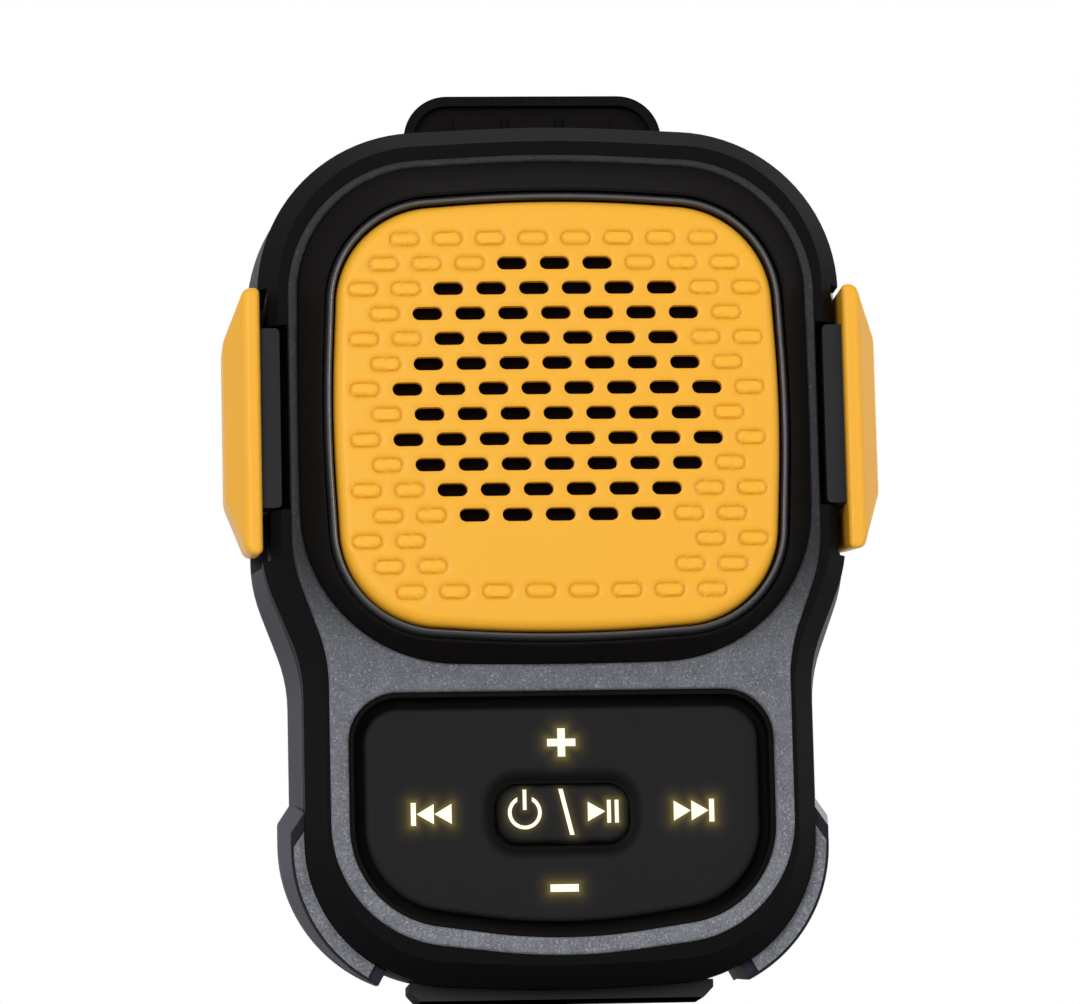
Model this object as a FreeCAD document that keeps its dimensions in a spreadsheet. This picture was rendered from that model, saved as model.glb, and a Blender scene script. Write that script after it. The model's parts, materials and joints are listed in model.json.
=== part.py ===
import FreeCAD, Part
import math
import os
import re

import Sketcher

# A clip-on loudspeaker: a loudspeaker behind a slotted grille above, a lit keypad below, squeeze pads at the
# sides and a sprung magnetic clip on the back.
# Every piece is drawn in one working frame: x to the right, depth back from the crown of the grille, z up
# from the grille's centre. Each piece's own Placement then puts the origin under the middle of the base foot.

# Each driving size in millimetres, with what it measures.
SIZES = {
    # Grille
    "grille_half_width": (24.7, "half width of the grille at the middle of its sides"),
    "grille_half_height": (24.3, "half height of the grille"),
    "grille_corner_radius": (11.0, "corner radius of the grille"),
    "grille_bow": (1.1, "how far the grille's left and right sides stand out at their middles"),
    "grille_end_bow": (1.7, "how far the grille's top and bottom stand out at their middles"),
    "grille_bow_radius": (150, "radius of the middle of the grille's sides"),
    "side_bow": (0.5, "how far a bowed side stands out at its middle"),
    "shell_bow": (1.6, "how far the shell's top stands out at its middle"),
    "shell_bow_radius": (150, "radius of the middle of the shell's top and bottom"),
    "bow_radius": (400, "radius of the middle of a bowed side"),
    "keypad_bow_radius": (60, "radius of the middle of the keypad's bowed lower side"),
    "grille_crown": (0.6, "rise of the grille's pillow from its sides to its centre"),
    "grille_depth": (2.5, "depth of the grille's back face"),
    "grille_edge_run": (0.8, "width of the grille's rounded edge"),
    "grille_edge_depth": (1.7, "depth at which the grille's edge turns vertical"),
    "slot_pitch": (4.7, "distance between slots in a row"),
    "row_pitch": (2.797, "distance between rows of slots"),
    "slot_length": (3.15, "length of a slot"),
    "slot_height": (1.35, "height of a slot"),
    "dimple_depth": (0.35, "depth of a blind dimple"),
    # Trim ring, bezel and dust screen
    "trim_gap": (0.25, "gap between the grille and the trim ring"),
    "trim_width": (0.9, "width of the trim ring"),
    "trim_front": (1.0, "depth of the trim ring's front"),
    "fit_gap": (0.05, "clearance between two fixed pieces that nest"),
    "bezel_front": (1.4, "depth of the bezel's inner rim"),
    "bezel_rim": (0.3, "flat width of the bezel's inner rim"),
    "bezel_floor": (4.6, "depth of the floor that the loudspeaker sits on"),
    "bezel_back": (6.6, "depth of the bezel's back"),
    "grille_ledge": (1.3, "width of the ledge behind the grille's edge"),
    "screen_thickness": (0.3, "thickness of the dust screen"),
    "ring_half_width": (28.15, "half width of the bezel"),
    "ring_top": (29.3, "top of the bezel"),
    "ring_bottom": (27.05, "bottom of the bezel, below the grille's centre"),
    "ring_top_radius": (14.3, "upper corner radius of the bezel"),
    "ring_bottom_radius": (17, "lower corner radius of the bezel"),
    # Front frame
    "frame_front": (5.0, "depth of the front frame's face"),
    "frame_back": (7.2, "depth of the front frame's back"),
    "frame_half_width": (29.2, "half width of the frame round the loudspeaker"),
    "frame_top": (30.2, "top of the frame"),
    "frame_top_radius": (15.3, "upper corner radius of the frame"),
    "frame_neck_top": (15.4, "where the frame starts to narrow, below the grille's centre"),
    "frame_neck_bottom": (25.9, "where the frame stops narrowing"),
    "frame_neck_radius": (18, "radius of both bends of the frame's neck"),
    "frame_keypad_half_width": (25.35, "half width of the frame round the keypad"),
    "frame_bottom": (59.3, "bottom of the frame, before its middle is rounded"),
    "frame_low_bow": (3.1, "how much lower the frame's bottom is at its middle than at its corners"),
    "frame_bottom_radius": (13.5, "lower corner radius of the frame"),
    # Front bumper
    "band_front": (5.4, "depth of the bumper's front edge"),
    "band_shoulder": (8.5, "depth at which the bumper's slope meets its side"),
    "band_slope": (2.2, "width of the bumper's slope"),
    "band_back": (12.0, "depth where the bumper meets the rear housing"),
    "band_half_width": (32.4, "half width of the bumper round the loudspeaker"),
    "band_top": (34.0, "top of the bumper"),
    "band_top_radius": (18.2, "upper corner radius of the bumper"),
    "band_neck_top": (16.0, "where the bumper starts to narrow"),
    "band_neck_bottom": (26.6, "where the bumper stops narrowing"),
    "band_neck_radius": (16, "radius of both bends of the bumper's neck"),
    "band_keypad_half_width": (28.05, "half width of the bumper round the keypad"),
    "band_bottom": (62.4, "bottom of the bumper"),
    "band_low_bow": (1.5, "how much lower the bumper's bottom is at its middle than at its corners"),
    "band_bottom_radius": (16.0, "lower corner radius of the bumper"),
    "band_flange": (0.75, "width of the bumper's inner flange"),
    "band_flange_thickness": (1.2, "thickness of the bumper's inner flange"),
    # Rear housing
    "housing_half_width": (33.3, "half width of the rear housing"),
    "housing_top": (34.2, "top of the rear housing"),
    "housing_flare": (1.3, "how much the housing's sides spread behind the bumper"),
    "flare_depth": (18.0, "depth where the housing's sides stop spreading"),
    "housing_top_radius": (19, "upper corner radius of the housing"),
    "housing_neck_top": (16.5, "where the housing starts to narrow"),
    "housing_neck_bottom": (27.0, "where the housing stops narrowing"),
    "housing_neck_radius": (17, "radius of both bends of the housing's neck"),
    "housing_keypad_half_width": (29.4, "half width of the housing behind the keypad"),
    "housing_bottom": (61.2, "bottom of the rear housing"),
    "housing_bottom_radius": (17, "lower corner radius of the housing"),
    "housing_back": (21.4, "depth of the housing's back face"),
    "housing_edge_radius": (2.4, "rounding of the housing's back edge"),
    "wall": (2.0, "thickness of the housing's back wall"),
    "inside_half_width": (29.4, "half width inside the housing behind the loudspeaker"),
    "inside_top": (31.8, "top of the space inside the housing"),
    "inside_keypad_half_width": (27.2, "half width inside the housing behind the keypad"),
    "inside_bottom": (59.0, "bottom of the space inside the housing"),
    "gasket_inset": (0.2, "wall between the housing's inside and its gasket"),
    "gasket_width": (0.4, "width of the housing gasket"),
    "gasket_depth": (0.5, "thickness of the housing gasket"),
    # Chassis and its screws
    "chassis_back": (8.8, "depth of the chassis plate's back"),
    "boss_radius": (2.2, "outer radius of a screw boss"),
    "boss_floor": (1.0, "thickness of the chassis in front of a screw's hole"),
    "screw_radius": (1.0, "radius of a housing screw's shank"),
    "screw_head_radius": (1.9, "radius of a housing screw's head"),
    "screw_head_height": (1.4, "height of a housing screw's head"),
    "screw_clearance": (0.05, "clearance round a screw"),
    "screw_sink": (0.3, "how far a screw head lies below the housing's back"),
    "top_screw_x": (21.8, "upper housing screws, from the middle"),
    "top_screw_z": (22.2, "upper housing screws, above the grille's centre"),
    "neck_screw_x": (22.2, "lower housing screws, from the middle"),
    "neck_screw_z": (27.2, "lower housing screws, below the grille's centre"),
    # Keypad
    "keypad_centre": (43.4, "centre of the keypad, below the grille's centre"),
    "recess_half_width": (23.35, "half width of the keypad's recess"),
    "recess_top": (29.9, "top of the recess, below the grille's centre"),
    "recess_bottom": (57.6, "bottom of the recess, before its middle is rounded"),
    "recess_low_bow": (3.4, "how much lower the recess's bottom is at its middle than at its corners"),
    "recess_top_radius": (5.5, "upper corner radius of the recess"),
    "recess_bottom_radius": (11, "lower corner radius of the recess"),
    "tray_front": (5.7, "depth of the tray's rim"),
    "tray_wall": (0.5, "thickness of the tray's wall"),
    "tray_floor": (8.6, "depth of the tray's floor"),
    "tray_back": (9.35, "depth of the tray's back"),
    "tray_flange": (0.8, "width of the tray's flange behind the chassis"),
    "pad_gap": (1.7, "gap between the recess and the rocker pad"),
    "pad_front": (6.3, "depth of the rocker pad's face"),
    "pad_back": (7.7, "depth of the rocker pad's back"),
    "icon_depth": (0.3, "depth of an icon inlay"),
    "pivot_depth": (8.8, "depth of the rocker's two tilt axes"),
    "pivot_pin_radius": (0.45, "radius of the pivot ring's pins"),
    "pivot_clearance": (0.05, "radial clearance of the pivot pins"),
    "pivot_half_width": (10.6, "half width of the pivot ring"),
    "pivot_half_height": (5.2, "half height of the pivot ring"),
    "pivot_bar": (1.0, "width and thickness of the pivot ring's bars"),
    "pivot_pin_length": (1.5, "how far a pivot pin stands out"),
    "window_half_width": (11.0, "half width of the tray's window for the pivot ring"),
    "window_half_height": (6.9, "half height of the tray's window"),
    "lug_width": (2.6, "width of a pad lug that holds a pivot pin"),
    "lug_thickness": (1.0, "thickness of a pad lug"),
    "lug_back": (9.7, "depth where a pad lug ends"),
    "side_plunger": (15.2, "distance of the previous and next plungers from the centre"),
    "end_plunger": (8.3, "distance of the volume plungers from the centre"),
    "plunger_radius": (0.7, "radius of a plunger"),
    "plunger_hole_radius": (1.2, "radius of the tray's hole round a plunger"),
    # Centre key
    "key_half_width": (7.2, "half width of the centre key"),
    "key_half_height": (3.2, "half height of the centre key"),
    "key_radius": (2.3, "corner radius of the centre key"),
    "key_front": (5.9, "depth of the centre key's face"),
    "key_moat": (1.2, "width of the moat round the centre key"),
    "key_slack": (0.2, "gap between the key and its seal"),
    "seal_front": (6.9, "depth of the key seal's front"),
    "seal_back": (7.3, "depth of the key seal's back"),
    "key_flange": (0.6, "width of the key's retaining flange"),
    "key_flange_front": (7.4, "depth of the key flange's front"),
    "key_back": (7.9, "depth of the key's back"),
    "key_stem_radius": (1.1, "radius of the key's stem"),
    "stem_back": (9.3, "depth where the key's stem and the plungers end"),
    # Keypad board, switches and lights
    "board_front": (11.0, "depth of the keypad board's front"),
    "board_thickness": (1.2, "thickness of the keypad board"),
    "board_inset": (1.8, "how much smaller than the rocker pad the board is"),
    "switch_size": (3.0, "side of a tact switch"),
    "switch_height": (0.8, "height of a tact switch's body"),
    "switch_cap_radius": (0.8, "radius of a tact switch's cap"),
    "switch_cap_height": (0.45, "height of a tact switch's cap"),
    "post_radius": (1.2, "radius of the posts that carry the keypad board"),
    # Loudspeaker
    "basket_radius": (20.0, "outer radius of the loudspeaker"),
    "basket_hole": (18.3, "radius of the bezel's hole for the loudspeaker"),
    "chassis_hole": (19.0, "radius of the chassis' hole for the loudspeaker"),
    "basket_front": (3.5, "depth of the basket's flange"),
    "basket_sheet": (0.9, "thickness of the basket's flange"),
    "basket_back": (10.2, "depth of the basket's back plate"),
    "coil_radius": (7.2, "outer radius of the voice coil"),
    "coil_wall": (0.5, "thickness of the voice coil"),
    "magnet_gap": (0.3, "gap on each side of the voice coil"),
    "top_plate_thickness": (1.6, "thickness of the top plate"),
    "magnet_thickness": (3.6, "thickness of the ring magnet"),
    "magnet_radius": (14.2, "outer radius of the ring magnet"),
    "yoke_thickness": (1.6, "thickness of the yoke's plate"),
    "cone_travel": (1.0, "how far the cone moves each way"),
    # Side pads and rails
    "pad_face": (36.35, "outer face of a side pad, from the middle"),
    "pad_inner": (32.3, "inner face of a side pad"),
    "pad_shoulder": (34.0, "where a side pad's end facet starts"),
    "pad_top": (15.1, "top of a side pad"),
    "pad_bottom": (14.6, "bottom of a side pad"),
    "pad_facet": (5.5, "height of a side pad's top facet"),
    "pad_low_facet": (6.8, "height of a side pad's bottom facet"),
    "pad_nose": (4.6, "depth of a side pad's front"),
    "pad_tail": (19.0, "depth of a side pad's back"),
    "pad_front_facet": (3.9, "depth of a side pad's front facet"),
    "pad_back_facet": (3.0, "depth of a side pad's back facet"),
    "pad_undercut": (1.6, "how much higher a side pad's bottom lies at its back"),
    "pad_travel": (0.8, "how far a side pad is squeezed in"),
    "well_clearance": (0.35, "room round a side pad in its well"),
    "rail_inner": (30.15, "inner face of a side rail"),
    "rail_top": (10.7, "top of a side rail"),
    "rail_bottom": (9.3, "bottom of a side rail"),
    "rail_front": (5.9, "depth of a side rail's face"),
    "rail_back": (9.2, "depth of a side rail's back"),
    "rail_round": (0.5, "rounding of a side rail's ends"),
    "rail_room": (0.3, "room behind and at the ends of a side rail"),
    "pad_spring_radius": (1.3, "outer radius of a side pad's spring"),
    "pad_spring_z": (7.5, "height of a side pad's springs, each way"),
    "pad_spring_depth": (15.5, "depth of a side pad's springs"),
    "pad_spring_socket": (1.2, "how deep the springs sit in the housing"),
    # Corner guards
    "guard_half_width": (29.6, "outer face of a corner guard at its front"),
    "guard_flare": (1.1, "how much a guard spreads behind its front"),
    "guard_top": (42.6, "top of a corner guard, below the grille's centre"),
    "guard_slant": (2.2, "height of a guard's slanted top"),
    "guard_bottom": (63.4, "where a guard's outer edge would be level, below its cut end"),
    "guard_radius": (16.8, "outer corner radius of a guard"),
    "guard_lift": (1.4, "how much higher a guard's bottom lies behind its front"),
    "guard_rise": (2.0, "how much higher a guard's top lies behind its front"),
    "guard_end": (20.4, "inner end of a guard, from the middle, halfway along its slant"),
    "inlay_end": (22.0, "inner end of a guard inlay, from the middle, halfway along its slant"),
    "end_slant": (1.5, "how far a guard's inner end slants outward, each way"),
    "guard_front": (9.5, "depth of a guard's front"),
    "guard_back": (20.6, "depth of a guard's back"),
    "inlay_rim": (0.25, "width of the guard's rim outside its inlay"),
    "inlay_top": (44.1, "top of a guard inlay, below the grille's centre"),
    "inlay_depth": (0.5, "thickness of a guard inlay"),
    "peg_radius": (1.0, "radius of a guard's pegs"),
    "peg_depth": (16.5, "depth of a guard's pegs"),
    "peg_tip": (27.7, "inner end of a guard's pegs, from the middle"),
    "upper_peg": (45.8, "upper peg of a guard, below the grille's centre"),
    "lower_peg": (49.8, "lower peg of a guard"),
    # Base foot and port
    "foot_half_width": (16.8, "half width of the base foot"),
    "foot_bottom": (63.2, "bottom of the base foot, below the grille's centre"),
    "foot_front": (12.1, "depth of the foot's front"),
    "foot_back": (20.9, "depth of the foot's back"),
    "foot_notch": (1.2, "size of the slanted cuts at the foot's ends"),
    "port_depth": (16.75, "depth of the charging port's centre"),
    "port_half_width": (6.2, "half width of the port cover"),
    "port_cover_front": (13.9, "depth of the port cover's front edge"),
    "port_cover_gap": (0.3, "gap round the port cover"),
    "port_hinge_depth": (19.2, "depth of the port cover's hinge"),
    "port_barrel_radius": (0.65, "radius of the port cover's hinge barrel"),
    "port_pin_radius": (0.35, "radius of the port cover's pin"),
    "port_pin_reach": (0.9, "how far the port cover's pin reaches into the foot"),
    "port_cover_thickness": (1.0, "thickness of the port cover's plate"),
    "port_lift": (0.35, "how far the port cover lies above the foot's bottom"),
    "plug_height": (0.7, "height of the port cover's plug"),
    "plug_margin": (1.0, "how much smaller than the socket the cover's plug is, at each side"),
    "usb_width": (9.0, "width of the charging socket"),
    "usb_height": (3.2, "height of the charging socket's shell"),
    "usb_length": (7.0, "length of the charging socket"),
    "usb_mouth": (60.9, "mouth of the charging socket, below the grille's centre"),
    "usb_wall": (0.3, "thickness of the charging socket's shell"),
    "usb_tongue_width": (6.7, "width of the charging socket's tongue"),
    "usb_tongue_thickness": (0.7, "thickness of the charging socket's tongue"),
    "charge_board_front": (18.35, "depth of the charge board's front"),
    "charge_board_half_width": (12.0, "half width of the charge board"),
    "charge_board_top": (51.5, "top of the charge board, below the grille's centre"),
    # Battery
    "battery_half_width": (17.0, "half width of the battery"),
    "battery_top": (30.0, "top of the battery, below the grille's centre"),
    "battery_bottom": (50.0, "bottom of the battery"),
    "battery_front": (12.85, "depth of the battery's front"),
    "battery_back": (18.2, "depth of the battery's back"),
    "tape_half_width": (12.0, "half width of the battery's foam tape"),
    "tape_margin": (3.0, "how much shorter the foam tape is than the battery, at each end"),
    "lead_radius": (0.35, "radius of a lead"),
    "lead_spacing": (1.6, "distance of a lead from the middle"),
    "terminal_half_width": (3.4, "half width of the loudspeaker's terminal block"),
    "terminal_height": (2.4, "height of the terminal block"),
    "terminal_front": (8.95, "depth of the terminal block's front"),
    "terminal_thickness": (1.3, "thickness of the terminal block"),
    # Clip
    "pivot_z": (17.0, "height of the clip's pin above the grille's centre"),
    "pivot_back": (25.0, "depth of the clip's pin"),
    "pin_radius": (1.2, "radius of the clip's pin"),
    "pin_clearance": (0.05, "radial clearance of the clip's pin"),
    "knuckle_radius": (2.4, "radius of the clip's knuckles"),
    "ear_inner": (8.6, "inner face of a clip ear, from the middle"),
    "ear_outer": (11.4, "outer face of a clip ear"),
    "knuckle_inner": (4.9, "inner face of an arm knuckle"),
    "knuckle_gap": (0.25, "gap between an ear and a knuckle"),
    "base_thickness": (0.9, "thickness of the clip base's plate"),
    "base_half_width": (13.0, "half width of the clip base"),
    "base_top": (27.0, "top of the clip base above the grille's centre"),
    "base_bottom": (5.0, "bottom of the clip base above the grille's centre"),
    "arm_front": (26.3, "depth of the clip arm's front face"),
    "arm_thickness": (2.7, "thickness of the clip arm"),
    "arm_half_width": (14.8, "half width of the clip arm at its thumb tab"),
    "arm_waist_half_width": (13.2, "half width of the clip arm behind the body"),
    "arm_waist_top": (12.0, "where the clip arm stops narrowing, above the grille's centre"),
    "arm_top": (41.3, "top of the clip arm above the grille's centre"),
    "arm_bottom": (25.0, "bottom of the clip arm below the grille's centre"),
    "arm_top_radius": (5.0, "upper corner radius of the clip arm"),
    "arm_bottom_radius": (6.0, "lower corner radius of the clip arm"),
    "tab_front": (25.0, "depth of the thumb tab's front rim"),
    "tab_bottom": (24.0, "where the thumb tab's thicker part starts"),
    "tab_rim": (1.1, "width of the thumb tab's rim"),
    "tab_recess": (1.1, "depth of the thumb tab's recess"),
    "tab_recess_bottom": (31.0, "bottom of the thumb tab's recess above the grille's centre"),
    "tab_block_width": (5.2, "width of a block in the thumb tab's recess"),
    "tab_block_gap": (1.1, "gap between the blocks"),
    "tab_block_height": (0.7, "height of the blocks above the recess"),
    "grip_height": (0.6, "height of a grip rib on the thumb tab's back"),
    "grip_width": (1.1, "width of a grip rib"),
    "grip_pitch": (2.2, "distance between grip ribs"),
    "grip_half_length": (9.5, "half length of a grip rib"),
    "grip_first": (29.0, "height of the first grip rib above the grille's centre"),
    "hinge_room": (0.5, "room round the knuckles in the arm's hinge pocket"),
    "hinge_pocket_depth": (1.4, "depth of the arm's hinge pocket"),
    "leg_length": (4.6, "length of the clip spring's legs"),
    "jaw_height": (5.0, "height of the clip's jaw"),
    "jaw_pad_thickness": (1.0, "thickness of the clip's jaw pad"),
    "jaw_gap": (0.35, "gap between the jaw pad and the housing"),
    "jaw_half_width": (11.0, "half width of the clip's jaw"),
    "clip_magnet_radius": (6.0, "radius of a clip magnet"),
    "clip_magnet_height": (2.0, "height of a clip magnet"),
    "clip_magnet_spacing": (15.0, "distance between the clip magnets"),
    "clip_magnet_centre": (7.0, "middle of the clip magnets, below the grille's centre"),
    "magnet_pad_thickness": (1.0, "thickness of the magnet pad"),
    "magnet_pad_half_width": (11.5, "half width of the magnet pad"),
    "magnet_pad_half_height": (16.0, "half height of the magnet pad"),
    "magnet_pad_radius": (5.0, "corner radius of the magnet pad"),
    "spring_wire": (0.4, "radius of the clip spring's wire"),
    "spring_radius": (1.85, "radius of the clip spring's coil, to the wire's middle"),
    "spring_pitch": (1.3, "pitch of the clip spring's coil"),
    "spring_turns": (5, "whole turns of the clip spring, before its last half turn"),
    "clip_screw_x": (9.0, "clip screws, from the middle"),
    "clip_screw_top": (23.5, "upper clip screws above the grille's centre"),
    "clip_screw_bottom": (8.0, "lower clip screws above the grille's centre"),
    "clip_screw_radius": (0.9, "radius of a clip screw's shank"),
    "clip_screw_head": (1.6, "radius of a clip screw's head"),
    "clip_screw_head_height": (0.8, "height of a clip screw's head"),
    "clip_screw_end": (0.5, "how far a clip screw ends short of the housing's inside"),
    # Icons
    "icon_size": (3.1, "length of the plus and minus marks"),
    "icon_stroke": (0.82, "stroke of the plus and minus marks"),
    "plus_rise": (7.85, "height of the plus above the keypad's centre"),
    "minus_drop": (8.1, "distance of the minus below the keypad's centre"),
    "skip_distance": (14.4, "distance of the previous and next marks from the middle"),
    "mark_height": (2.5, "height of the previous, next and play marks"),
    "mark_rise": (0.18, "how far the middle row of marks lies above the keypad's centre"),
    "skip_bar": (0.55, "width of the bar of a previous or next mark"),
    "skip_triangle": (1.95, "width of a triangle of a previous or next mark"),
    "skip_height": (2.2, "height of a triangle of a previous or next mark"),
    "skip_gap": (0.08, "gap at the tip of a triangle of a previous or next mark"),
    "power_distance": (4.2, "distance of the power mark from the middle"),
    "power_radius": (1.85, "radius of the power mark"),
    "thin_stroke": (0.4, "stroke of the power mark"),
    "power_opening": (1.6, "width of the opening at the top of the power mark"),
    "slash_stroke": (0.48, "width of the slash"),
    "slash_place": (0.35, "distance of the slash from the middle"),
    "slash_lean": (1.2, "how far the slash leans"),
    "slash_height": (5.05, "height of the slash"),
    "play_start": (2.7, "left end of the play mark, from the middle"),
    "play_width": (1.9, "width of the play triangle"),
    "play_height": (2.15, "height of the play triangle"),
    "pause_bar": (0.42, "width of a pause bar"),
    "pause_pitch": (0.85, "distance between the pause bars"),
}

HALF_DEPTH = "(arm_front + arm_thickness + magnet_pad_thickness) / 2"

doc = FreeCAD.newDocument("clip_speaker")
sheet = doc.addObject("Spreadsheet::Sheet", "sizes")
for row, (alias, (size, note)) in enumerate(SIZES.items(), start=1):
    sheet.set(f"A{row}", alias)
    sheet.set(f"B{row}", str(size))
    sheet.setAlias(f"B{row}", alias)
    sheet.set(f"C{row}", note)
doc.recompute()


# Helpers that tie the geometry to the sheet


def words(expression):
    """The expression with every size's name pointing into the sheet."""

    def point(found):
        name = found.group()
        return "sizes." + name if name in SIZES else name

    return re.sub(r"[a-z][a-z0-9_]*", point, expression)


def value(expression):
    return float(sheet.evalExpression(expression))


def bind(thing, path, expression):
    thing.setExpression(path, words(expression))


def seat(thing):
    """Moves a finished piece from the working frame to the speaker's own origin."""
    bind(thing, ".Placement.Base.y", f"-({HALF_DEPTH})")
    bind(thing, ".Placement.Base.z", "foot_bottom")


def body(label):
    new = doc.addObject("PartDesign::Body", label)
    new.Label = label
    return new


# The two sides, with the sign that their x takes
SIDES = {"right": "", "left": "-"}
PLANES = {"front": ("XZ_Plane", "-"), "top": ("XY_Plane", ""), "side": ("YZ_Plane", "")}


def plane_sketch(owner, name, facing, distance):
    """An empty sketch: front (x, z) at a depth, top (x, depth) at a height, side (depth, z) at an x."""
    role, sign = PLANES[facing]
    sketch = owner.newObject("Sketcher::SketchObject", name)
    plane = next(f for f in owner.Origin.OriginFeatures if f.Role == role)
    sketch.AttachmentSupport = [(plane, "")]
    sketch.MapMode = "FlatFace"
    bind(sketch, ".AttachmentOffset.Base.z", f"{sign}({distance})")
    return sketch


def corner_arc(before, corner, after, radius):
    """Where a corner's arc starts and ends, its circle, and whether the path turns left there."""
    inward = (before - corner).normalize()
    outward = (after - corner).normalize()
    half = inward.getAngle(outward) / 2
    reach = radius / math.tan(half)
    middle = corner + (inward + outward).normalize() * (radius / math.sin(half))
    left = inward.cross(outward).z < 0
    return corner + inward * reach, corner + outward * reach, middle, left


def draw_loop(sketch, corners):
    """Draws a closed loop through corners of (across, up, radius), with an arc at each round corner."""
    spots = [FreeCAD.Vector(value(across), value(up), 0) for across, up, radius in corners]
    count = len(corners)
    first = sketch.GeometryCount
    arcs = []
    for index, (across, up, radius) in enumerate(corners):
        if radius == "0":
            arcs.append(None)
            continue
        arcs.append(corner_arc(spots[index - 1], spots[index], spots[(index + 1) % count], value(radius)))
    geometry = []
    for index in range(count):
        after = (index + 1) % count
        start = arcs[index][1] if arcs[index] else spots[index]
        end = arcs[after][0] if arcs[after] else spots[after]
        geometry.append(Part.LineSegment(start, end))
    arc_number = {}
    for index, found in enumerate(arcs):
        if not found:
            continue
        begin, finish, middle, left = found
        if not left:
            begin, finish = finish, begin
        circle = Part.Circle(middle, FreeCAD.Vector(0, 0, 1), value(corners[index][2]))
        low = math.atan2(begin.y - middle.y, begin.x - middle.x)
        high = math.atan2(finish.y - middle.y, finish.x - middle.x)
        if high < low:
            high += 2 * math.pi
        arc_number[index] = first + len(geometry)
        geometry.append(Part.ArcOfCircle(circle, low, high))
    sketch.addGeometry(geometry, False)
    points = sketch.addGeometry([Part.Point(spot) for spot in spots], True)
    rules = []
    bound = []
    for index, (across, up, radius) in enumerate(corners):
        incoming = first + (index - 1) % count
        outgoing = first + index
        point = points[index]
        for kind, words_of, size in (("DistanceX", across, spots[index].x), ("DistanceY", up, spots[index].y)):
            bound.append((len(rules), f"{kind}_{point}", words_of))
            rules.append(Sketcher.Constraint(kind, -1, 1, point, 1, size))
        if not arcs[index]:
            rules.append(Sketcher.Constraint("Coincident", incoming, 2, point, 1))
            rules.append(Sketcher.Constraint("Coincident", outgoing, 1, point, 1))
            continue
        arc = arc_number[index]
        near, far = (1, 2) if arcs[index][3] else (2, 1)
        rules.append(Sketcher.Constraint("PointOnObject", point, 1, incoming))
        rules.append(Sketcher.Constraint("PointOnObject", point, 1, outgoing))
        rules.append(Sketcher.Constraint("Tangent", incoming, 2, arc, near))
        rules.append(Sketcher.Constraint("Tangent", outgoing, 1, arc, far))
        bound.append((len(rules), f"Radius_{point}", radius))
        rules.append(Sketcher.Constraint("Radius", arc, value(radius)))
    before = sketch.ConstraintCount
    sketch.addConstraint(rules)
    for offset, name, expression in bound:
        sketch.renameConstraint(before + offset, name)
        if re.search("[a-z]", expression):
            bind(sketch, f".Constraints.{name}", expression)
    return sketch


def draw_circle(sketch, across, up, radius):
    """Draws a circle whose centre and radius follow the sheet."""
    centre = FreeCAD.Vector(value(across), value(up), 0)
    number = sketch.addGeometry(Part.Circle(centre, FreeCAD.Vector(0, 0, 1), value(radius)), False)
    before = sketch.ConstraintCount
    sketch.addConstraint(
        [
            Sketcher.Constraint("DistanceX", -1, 1, number, 3, centre.x),
            Sketcher.Constraint("DistanceY", -1, 1, number, 3, centre.y),
            Sketcher.Constraint("Radius", number, value(radius)),
        ]
    )
    for offset, (name, expression) in enumerate((("across", across), ("up", up), ("radius", radius))):
        sketch.renameConstraint(before + offset, f"{name}_{number}")
        bind(sketch, f".Constraints.{name}_{number}", expression)
    return sketch


def outline(owner, name, facing, distance, corners):
    return draw_loop(plane_sketch(owner, name, facing, distance), corners)


def outlines(owner, name, facing, distance, loops):
    """One sketch of several loops: apart, or one inside another."""
    sketch = plane_sketch(owner, name, facing, distance)
    for corners in loops:
        draw_loop(sketch, corners)
    return sketch


def circle(owner, name, facing, distance, across, up, radius):
    return draw_circle(plane_sketch(owner, name, facing, distance), across, up, radius)


def circles(owner, name, facing, distance, places, radius):
    """One sketch of like circles at several (across, up) places."""
    sketch = plane_sketch(owner, name, facing, distance)
    for across, up in places:
        draw_circle(sketch, across, up, radius)
    return sketch


# A front sketch faces forward, a top one up and a side one right.
FACING_SIDES = ("front", "up", "right")


def pad(sketch, length, toward="back"):
    """Adds material from a sketch toward back, front, up, down, left or right."""
    feature = sketch.getParent().newObject("PartDesign::Pad", sketch.Name + "_pad")
    feature.Profile = sketch
    bind(feature, "Length", length)
    feature.Reversed = toward not in FACING_SIDES
    return feature


def pocket(sketch, length, toward="back"):
    """Cuts material away from a sketch toward one side, or half the length each way for both."""
    feature = sketch.getParent().newObject("PartDesign::Pocket", sketch.Name + "_pocket")
    feature.Profile = sketch
    bind(feature, "Length", length)
    feature.Reversed = toward in FACING_SIDES
    feature.Midplane = toward == "both"
    return feature


def frustum(owner, name, back, back_corners, front, front_corners, kind="Additive"):
    """Adds, or cuts, the ruled solid between an outline at one depth and another at a lesser depth."""
    base = outline(owner, name + "_back", "front", back, back_corners)
    face = outline(owner, name + "_front", "front", front, front_corners)
    feature = owner.newObject(f"PartDesign::{kind}Loft", name)
    feature.Profile = base
    feature.Sections = [face]
    feature.Ruled = True
    return feature


def revolve(owner, name, corners):
    """Turns a profile of (radius, depth) corners about the loudspeaker's axis."""
    sketch = outline(owner, name, "top", "0", corners)
    feature = owner.newObject("PartDesign::Revolution", name + "_turned")
    feature.Profile = sketch
    feature.ReferenceAxis = (sketch, ["V_Axis"])
    feature.Angle = 360
    return feature


def sharp(*corners):
    """Corners of (across, up) with no rounding."""
    return [(across, up, "0") for across, up in corners]


def rectangle(left, right, low, high, radius="0"):
    return [(left, low, radius), (right, low, radius), (right, high, radius), (left, high, radius)]


def mirrored(right_half):
    """A whole outline from its right half, listed from the top to the bottom."""
    left_half = [(f"-({across})", up, radius) for across, up, radius in reversed(right_half) if across != "0"]
    return right_half + left_half


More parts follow.
